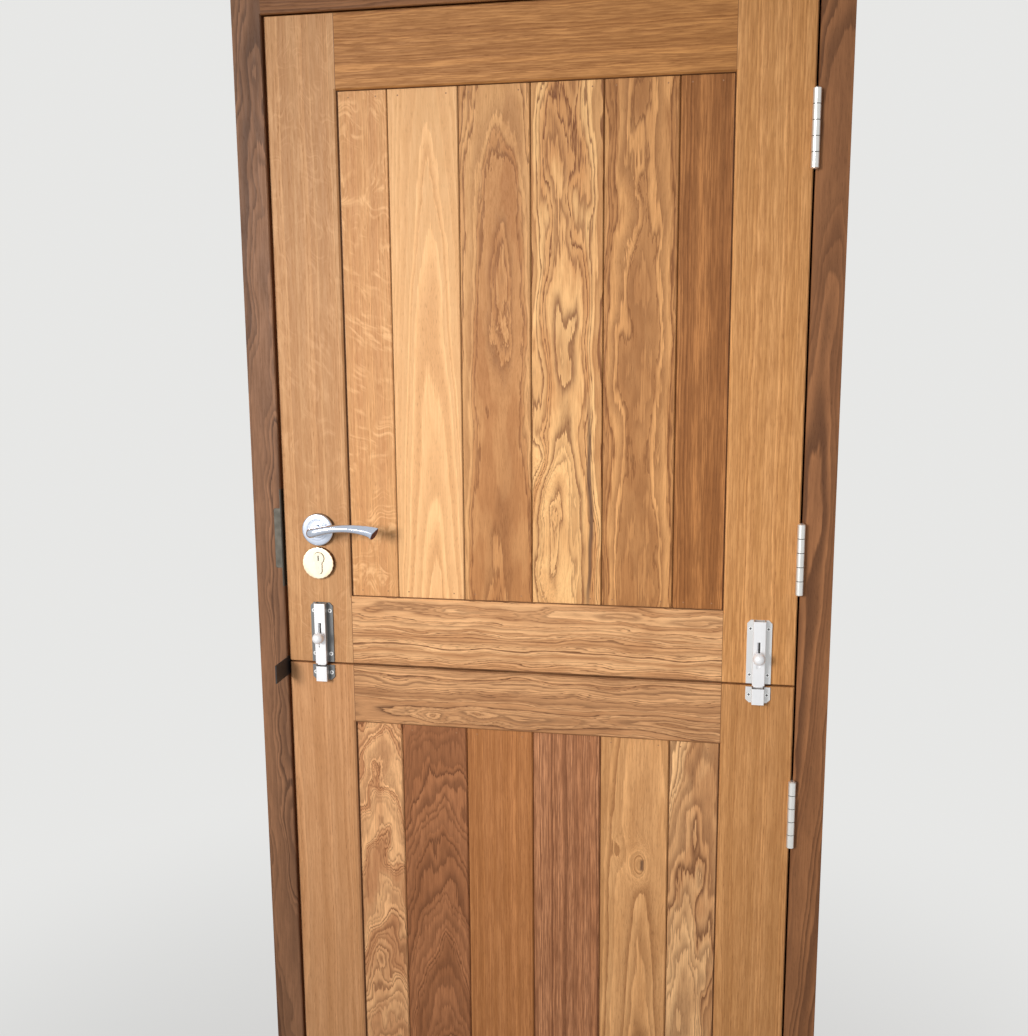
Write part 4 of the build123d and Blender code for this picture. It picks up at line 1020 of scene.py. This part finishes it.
def rose_profile():
    """Half the rose's outline: a rounded edge, a fine groove and a low collar round the hole."""
    radius, thickness, edge = 24.5, 9.0, 2.5
    groove, groove_depth, groove_mouth, groove_floor = 15.5, 0.35, 0.9, 0.4
    hole, chamfer, collar, collar_height, collar_foot, collar_edge = 8.1, 0.3, 12.0, 1.2, 0.4, 0.6
    front = thickness + collar_height
    profile = [(hole, 0.0), (radius, 0.0)]
    profile += arc((radius - edge, thickness - edge), edge, 0, 90, 7)
    profile += [(groove + groove_mouth, thickness), (groove + groove_floor, thickness - groove_depth),
                (groove - groove_floor, thickness - groove_depth), (groove - groove_mouth, thickness),
                (collar + collar_foot, thickness)]
    profile += arc((collar - collar_edge, front - collar_edge), collar_edge, 0, 90, 4)
    return profile + [(hole + chamfer, front), (hole, front - chamfer)]


class BuildRoses(bpy.types.Operator):
    """Builds the turned rose with its collar on each side of the upper leaf"""
    bl_idname = "stable_door.build_roses"
    bl_label = "Build the roses"

    def execute(self, context):
        chrome_colour = seen_colour(context.scene.door_handles.chrome)
        chrome = metal_material("satin_chrome_rose", chrome_colour, 0.3, (500.0, 500.0, 500.0), 0.06)
        # Painted shade and painted dark reflection on the rose's rounded edge and rim
        shade_below(chrome, (104, 106, 116), 6.2, 1.0)
        profile = rose_profile()
        side_count = 96
        for name, face, out in LEAF_SIDES:
            points = lathe(np.array(profile) * MILLIMETRE, (SPINDLE.x, face, SPINDLE.z), out, side_count)
            faces = tube_faces(len(profile), side_count, joined=True)
            rose = new_object(f"rose_plate_{name}", points, faces, chrome, radians(30))
            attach(rose, "upper_leaf")
            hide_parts(f"rose_{name}")
        return {"FINISHED"}


def euro_radius(angle, gap):
    """Distance from the plug's middle to the outline of the cylinder's profile.

    The angle is measured from straight down. The outline is a circle, and below it the two flanks
    of the leg, which end in a half circle."""
    circle, half_leg, foot_centre = PROFILE_RADIUS + gap, 5.0 + gap, 19.5
    away = np.abs(angle)
    flank = half_leg / np.maximum(np.sin(away), 1e-6)
    aside = foot_centre * np.sin(away)
    foot = foot_centre * np.cos(away) + np.sqrt((half_leg ** 2 - aside ** 2).clip(0))
    inside_leg = away < np.arcsin(half_leg / circle)
    on_foot = away < np.arctan2(half_leg, foot_centre)
    return np.where(on_foot, foot, np.where(inside_leg, flank, circle))


def escutcheon_points(settings, side_count):
    """Rings from the cylinder's outline to a round rim with shallow scallops.

    Each spoke starts at the plug's middle: its inner end is the profile's outline, its outer end
    the rim's circle less a scallop that is a raised cosine, and the front edge is rounded."""
    radius, thickness, edge, offset, gap = 24.5, 7.0, 0.9, (-1.5, -8.0), 0.45
    lip, lip_width, edge_stations = 0.2, 0.25, 6
    angle = np.linspace(-pi, pi, side_count, endpoint=False)
    aim = np.stack([np.sin(angle), -np.cos(angle)], 1)
    inner = aim * euro_radius(angle, gap)[:, None]
    centre = np.array(offset)
    along = aim @ centre
    reach = along + np.sqrt(along ** 2 - centre @ centre + radius ** 2)
    rim_angle = np.arctan2(*(aim * reach[:, None] - centre).T)
    depth = settings.scallop_depth / MILLIMETRE
    scallop = depth * (0.5 - 0.5 * np.cos(settings.scallop_count * rim_angle))
    outer = aim * (reach - scallop)[:, None]
    plain = aim * (reach - depth * 0.5)[:, None]

    def ring(share, height, edge_points=outer):
        flat = inner + (edge_points - inner) * np.reshape(share, (-1, 1))
        return np.concatenate([flat, np.full((side_count, 1), height)], 1)

    width = np.linalg.norm(outer - inner, axis=1)
    rings = [ring(0.0, 0.0), ring(0.0, thickness - lip), ring(lip_width / width, thickness)]
    rings += [ring(share, thickness) for share in (0.35, 0.7)]
    for turn in np.radians(np.linspace(90, 0, edge_stations)):
        rings.append(ring(1 - edge * (1 - np.cos(turn)) / width, thickness - edge * (1 - np.sin(turn))))
    rings += [ring(1.0, 0.6 * thickness), ring(1.0, 0.0, plain)]
    return np.stack(rings)


class BuildEscutcheons(bpy.types.Operator):
    """Builds the pale round base round the cylinder on each side of the upper leaf"""
    bl_idname = "stable_door.build_escutcheons"
    bl_label = "Build the escutcheons"

    def execute(self, context):
        brass = metal_material("pale_brass", (240, 222, 194), 0.42, (300.0, 300.0, 300.0), 0.08, 0.14)
        # Painted shade and painted dark reflection on the escutcheon's sides
        shade_below(brass, (104, 72, 52), 5.9, 0.5)
        side_count = 264
        rings = escutcheon_points(context.scene.door_handles, side_count) * MILLIMETRE
        for name, face, out in LEAF_SIDES:
            points = np.stack([rings[..., 0] + CYLINDER_X, face + out * rings[..., 2],
                               rings[..., 1] + CYLINDER_Z], -1).reshape(-1, 3)
            faces = tube_faces(len(rings), side_count, joined=True)
            plate = new_object(f"escutcheon_plate_{name}", points, faces, brass, radians(30))
            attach(plate, "upper_leaf")
            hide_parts(f"escutcheon_{name}")
        return {"FINISHED"}


def rod_points(low, high, bevel):
    """Rings of a flat rod: a rounded box section carried up, drawn in a little at both ends."""
    side_count, exponent, upper_share = 32, 7.0, 0.3
    angle = np.linspace(0, 2 * pi, side_count, endpoint=False) + pi / side_count
    across, deep = superellipse(angle, exponent)
    half = (high - low) / 2
    centre = (high + low) / 2
    upper_bevel = upper_share * bevel
    stations = np.array([low.z, low.z + bevel, high.z - upper_bevel, high.z])
    inset = np.array([bevel, 0.0, 0.0, upper_bevel])[:, None]
    x = centre.x + across * (half.x - inset)
    y = centre.y + deep * (half.y - inset)
    z = np.broadcast_to(stations[:, None], x.shape)
    return np.stack([x, y, z], -1)


def knob_profile(stem, ball, ball_height, flat):
    """A stem that flares into a ball, with a small flat turned on the ball's front."""
    flare, flare_length, ball_stations = 1.25, 0.5 * MILLIMETRE, 26
    start = np.degrees(np.arcsin(stem * flare / ball)) - 90
    end = np.degrees(np.arccos(flat / ball))
    ball_points = arc((0.0, ball_height), ball, start, end, ball_stations)
    return [(stem, 0.0), (stem, ball_points[0][1] - flare_length)] + ball_points


class BuildBoltRods(bpy.types.Operator):
    """Builds the two sliding rods with their turned ball knobs"""
    bl_idname = "stable_door.build_bolt_rods"
    bl_label = "Build the bolt rods"

    def execute(self, context):
        settings = context.scene.door_bolts
        rod_top, rod_under, half_rod, bevel = 11.15, 2.35, 6.9, 1.2
        ball, stem, ball_centre, knob_from_end, knob_sides = 8.7, 2.5, 22.4, 45.9, 48
        rod_middle = (rod_top + rod_under) / 2
        profile = knob_profile(stem * MILLIMETRE, ball * MILLIMETRE,
                               (ball_centre - rod_middle) * MILLIMETRE, settings.knob_flat)
        for side in ("left", "right"):
            node = f"bolt_{side}_rod"
            low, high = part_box(node)
            centre_x = (low.x + high.x) / 2
            knob_z = low.z + knob_from_end * MILLIMETRE
            rod = rod_points(
                Vector((centre_x - half_rod * MILLIMETRE, LEAF_FACE - rod_top * MILLIMETRE, low.z)),
                Vector((centre_x + half_rod * MILLIMETRE, LEAF_FACE - rod_under * MILLIMETRE, high.z)),
                bevel * MILLIMETRE)
            knob = lathe(profile, (centre_x, LEAF_FACE - rod_middle * MILLIMETRE, knob_z), -1, knob_sides)
            points = np.concatenate([rod.reshape(-1, 3), knob])
            faces = tube_faces(*rod.shape[:2])
            faces += tube_faces(len(profile), knob_sides, start=len(points) - len(knob))
            aluminium = rod_material(f"bolt_{side}_rod_aluminium", seen_colour(settings.aluminium),
                                     centre_x, rod_top, knob_z)
            piece = new_object(f"bolt_rod_{side}", points, faces, aluminium, radians(30))
            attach(piece, f"{side}_bolt")
            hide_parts(node)
        return {"FINISHED"}


class DressIronmongery(bpy.types.Operator):
    """Gives the hinges, lock, strike, bolts, screws and packer their metals and plastic"""
    bl_idname = "stable_door.dress_ironmongery"
    bl_label = "Dress the ironmongery"

    def execute(self, context):
        steel = metal_material("hinge_steel", (232, 231, 228), 0.34, (700.0, 700.0, 20.0), 0.14,
                               metallic=0.8)
        dress(steel, *(node for node in NODES if node.startswith("hinge_")))
        aluminium = seen_colour(context.scene.door_bolts.aluminium)
        # Painted shade: the flanks of both bolts and the grey flanges of the left bolt; the right bolt's
        # flanges are painted near white, as lit
        for side, flank, flange_shade in (("left", 176, 122), ("right", 176, 226)):
            bright = bolt_material(f"bolt_{side}_aluminium", aluminium, flank, flange_shade)
            dress(bright, f"bolt_{side}_base", f"bolt_{side}_keep")
        dress(frame_screw_material(), "frame_screws_and_washers")
        dress(leaf_screw_material(), "upper_screws", "lower_screws")
        pins = metal_material("pin_steel", (160, 112, 74), 0.6, metallic=0.0)
        dress(pins, "upper_board_pins", "lower_board_pins")
        # Painted shade: the strike plate's steel is dark grey, as it looks in the shade of the frame
        strike = metal_material("strike_steel", (96, 92, 85), 0.6, (300.0, 300.0, 300.0), 0.1, 0.3)
        dress(strike, "strike_plate")
        zinc = metal_material("lock_steel", (168, 168, 166), 0.42, (200.0, 200.0, 200.0), 0.12, 0.2)
        dress(zinc, "lock_case", "latch_bolt", "dead_bolt", "follower", "spindle")
        nickel = metal_material("cylinder_nickel", (232, 224, 206), 0.36, (400.0, 400.0, 400.0),
                                metallic=0.6)
        dress(nickel, "lock_cylinder", "cylinder_plug")
        dress(packer_material(), "gap_packer")
        return {"FINISHED"}


# Stage: camera, floor, lamps and world

def camera_turn(yaw, pitch, roll):
    """The camera's turn: it looks along +Y, rolls, pitches about X and then yaws about Z."""
    turn = Matrix.Rotation(yaw, 3, "Z") @ Matrix.Rotation(pitch, 3, "X") @ Matrix.Rotation(roll, 3, "Y")
    right, forward, up = turn.col
    return Matrix((right, up, -forward)).transposed()


def ray_is(t, *kinds):
    """One where the ray is of any of these kinds, else nought."""
    path = t.add("ShaderNodeLightPath").outputs
    share = path[f"Is {kinds[0]} Ray"]
    for kind in kinds[1:]:
        share = t.math("MAXIMUM", share, path[f"Is {kind} Ray"])
    return share


def floor_material(settings):
    """Pale matt floor, seen nearly half in the background's own tone, and wholly so away from the door."""
    near, far, near_share = 0.3, 2.2, 0.45
    material, t, shader = new_material("stage_floor")
    t.feed_all(shader, {"Base Color": (0.82, 0.82, 0.81, 1.0), "Roughness": 0.9,
                        "Specular IOR Level": 0.1})
    tone = settings.background
    plain = t.feed_all(t.add("ShaderNodeEmission"), {"Color": (tone, tone, tone * 0.985, 1.0)})
    distance = t.vector("LENGTH", t.object_place())
    share = t.times(ray_is(t, "Camera", "Glossy"), t.step(distance, near, far, near_share, 1.0))
    surface = t.mix_shaders(share, shader.outputs[0], plain[0])
    t.feed(material.node_tree.nodes["Material Output"].inputs["Surface"], surface)
    return material


def build_world(settings):
    """Even pale light, and the background's tone for what the camera and the metals see."""
    world = bpy.data.worlds.new("stage_world")
    world.use_nodes = True
    t = Tree(world.node_tree)
    nodes = world.node_tree.nodes
    lit = t.feed_all(nodes["Background"], {"Color": (0.97, 0.985, 1.0, 1.0), "Strength": settings.fill})
    seen = t.feed_all(t.add("ShaderNodeBackground"), {"Color": (1.0, 1.0, 0.985, 1.0),
                                                      "Strength": settings.background})
    mixed = t.mix_shaders(ray_is(t, "Camera", "Glossy", "Transmission"), lit[0], seen[0])
    t.feed(nodes["World Output"].inputs["Surface"], mixed)
    bpy.context.scene.world = world


def add_lamp(name, place, target, size, power, spread=pi, tint=(1.0, 1.0, 1.0)):
    """A soft square lamp that faces its target."""
    lamp = bpy.data.lights.new(name, "AREA")
    lamp.size = size
    lamp.energy = power
    lamp.color = tint
    lamp.spread = spread
    holder = bpy.data.objects.new(name, lamp)
    holder.location = place
    holder.rotation_euler = (Vector(target) - Vector(place)).to_track_quat("-Z", "Y").to_euler()
    bpy.context.scene.collection.objects.link(holder)


def add_camera(scene):
    """The photo's camera: its place in metres, its turn, and its focal length in pixels."""
    frame_height_px, focal_px, sensor = 1036.0, 1132.5, 36.0
    yaw, pitch, roll = radians(10.901), radians(-9.758), radians(0.405)
    place = (0.2840, -1.6488, 1.6016)
    camera = bpy.data.objects.new("camera", bpy.data.cameras.new("camera"))
    camera.data.sensor_width = sensor
    camera.data.lens = focal_px / frame_height_px * sensor
    camera.matrix_world = Matrix.Translation(place) @ camera_turn(yaw, pitch, roll).to_4x4()
    scene.collection.objects.link(camera)
    scene.camera = camera


def add_floor(scene, settings):
    """A round floor under the sill."""
    side_count = 96
    angle = np.linspace(0, 2 * pi, side_count, endpoint=False)
    rim = np.stack([np.cos(angle), np.sin(angle), np.zeros(side_count)], 1) * settings.floor_radius
    mesh = bpy.data.meshes.new("floor")
    mesh.from_pydata((rim + (0, 0, CAD_LOW.z)).tolist(), [], [list(range(side_count))])
    mesh.materials.append(floor_material(settings))
    floor = bpy.data.objects.new("floor", mesh)
    scene.collection.objects.link(floor)


class BuildStage(bpy.types.Operator):
    """Sets the camera, the floor, the lamps and the world"""
    bl_idname = "stable_door.build_stage"
    bl_label = "Build the stage"

    def execute(self, context):
        settings = context.scene.door_stage
        add_camera(context.scene)
        add_floor(context.scene, settings)
        build_world(settings)
        add_lamp("key", (-1.5, -3.0, 2.1), (0.06, 0.0, 1.24), 1.0, settings.key, radians(50),
                 (1.0, 0.98, 0.95))
        add_lamp("back_fill", (2.0, 3.6, 2.6), (0.0, 0.0, 1.1), 2.2, settings.back)
        context.scene.view_settings.view_transform = "Standard"
        return {"FINISHED"}


OPERATORS = (DressLeaves, DressFrame, DressIronmongery, BuildLevers, BuildRoses, BuildEscutcheons,
             BuildBoltRods, BuildStage)


class StableDoorPanel(bpy.types.Panel):
    """Lists the door's settings and operators"""
    bl_idname = "VIEW3D_PT_stable_door"
    bl_label = "Stable door"
    bl_space_type = "VIEW_3D"
    bl_region_type = "UI"
    bl_category = "Stable door"

    def draw(self, context):
        for attribute, group in SETTINGS.items():
            box = self.layout.box()
            for label in group.__annotations__:
                box.prop(getattr(context.scene, attribute), label)
        for operator in OPERATORS:
            self.layout.operator(operator.bl_idname)


def register():
    for group in (*SETTINGS.values(), *OPERATORS, StableDoorPanel):
        bpy.utils.register_class(group)
    for attribute, group in SETTINGS.items():
        setattr(bpy.types.Scene, attribute, PointerProperty(type=group))


def unregister():
    for attribute in SETTINGS:
        delattr(bpy.types.Scene, attribute)
    for group in (StableDoorPanel, *reversed(OPERATORS), *SETTINGS.values()):
        bpy.utils.unregister_class(group)


def main():
    """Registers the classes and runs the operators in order."""
    register()
    for operator in OPERATORS:
        group, name = operator.bl_idname.split(".")
        getattr(getattr(bpy.ops, group), name)()


if __name__ == "__main__":
    main()
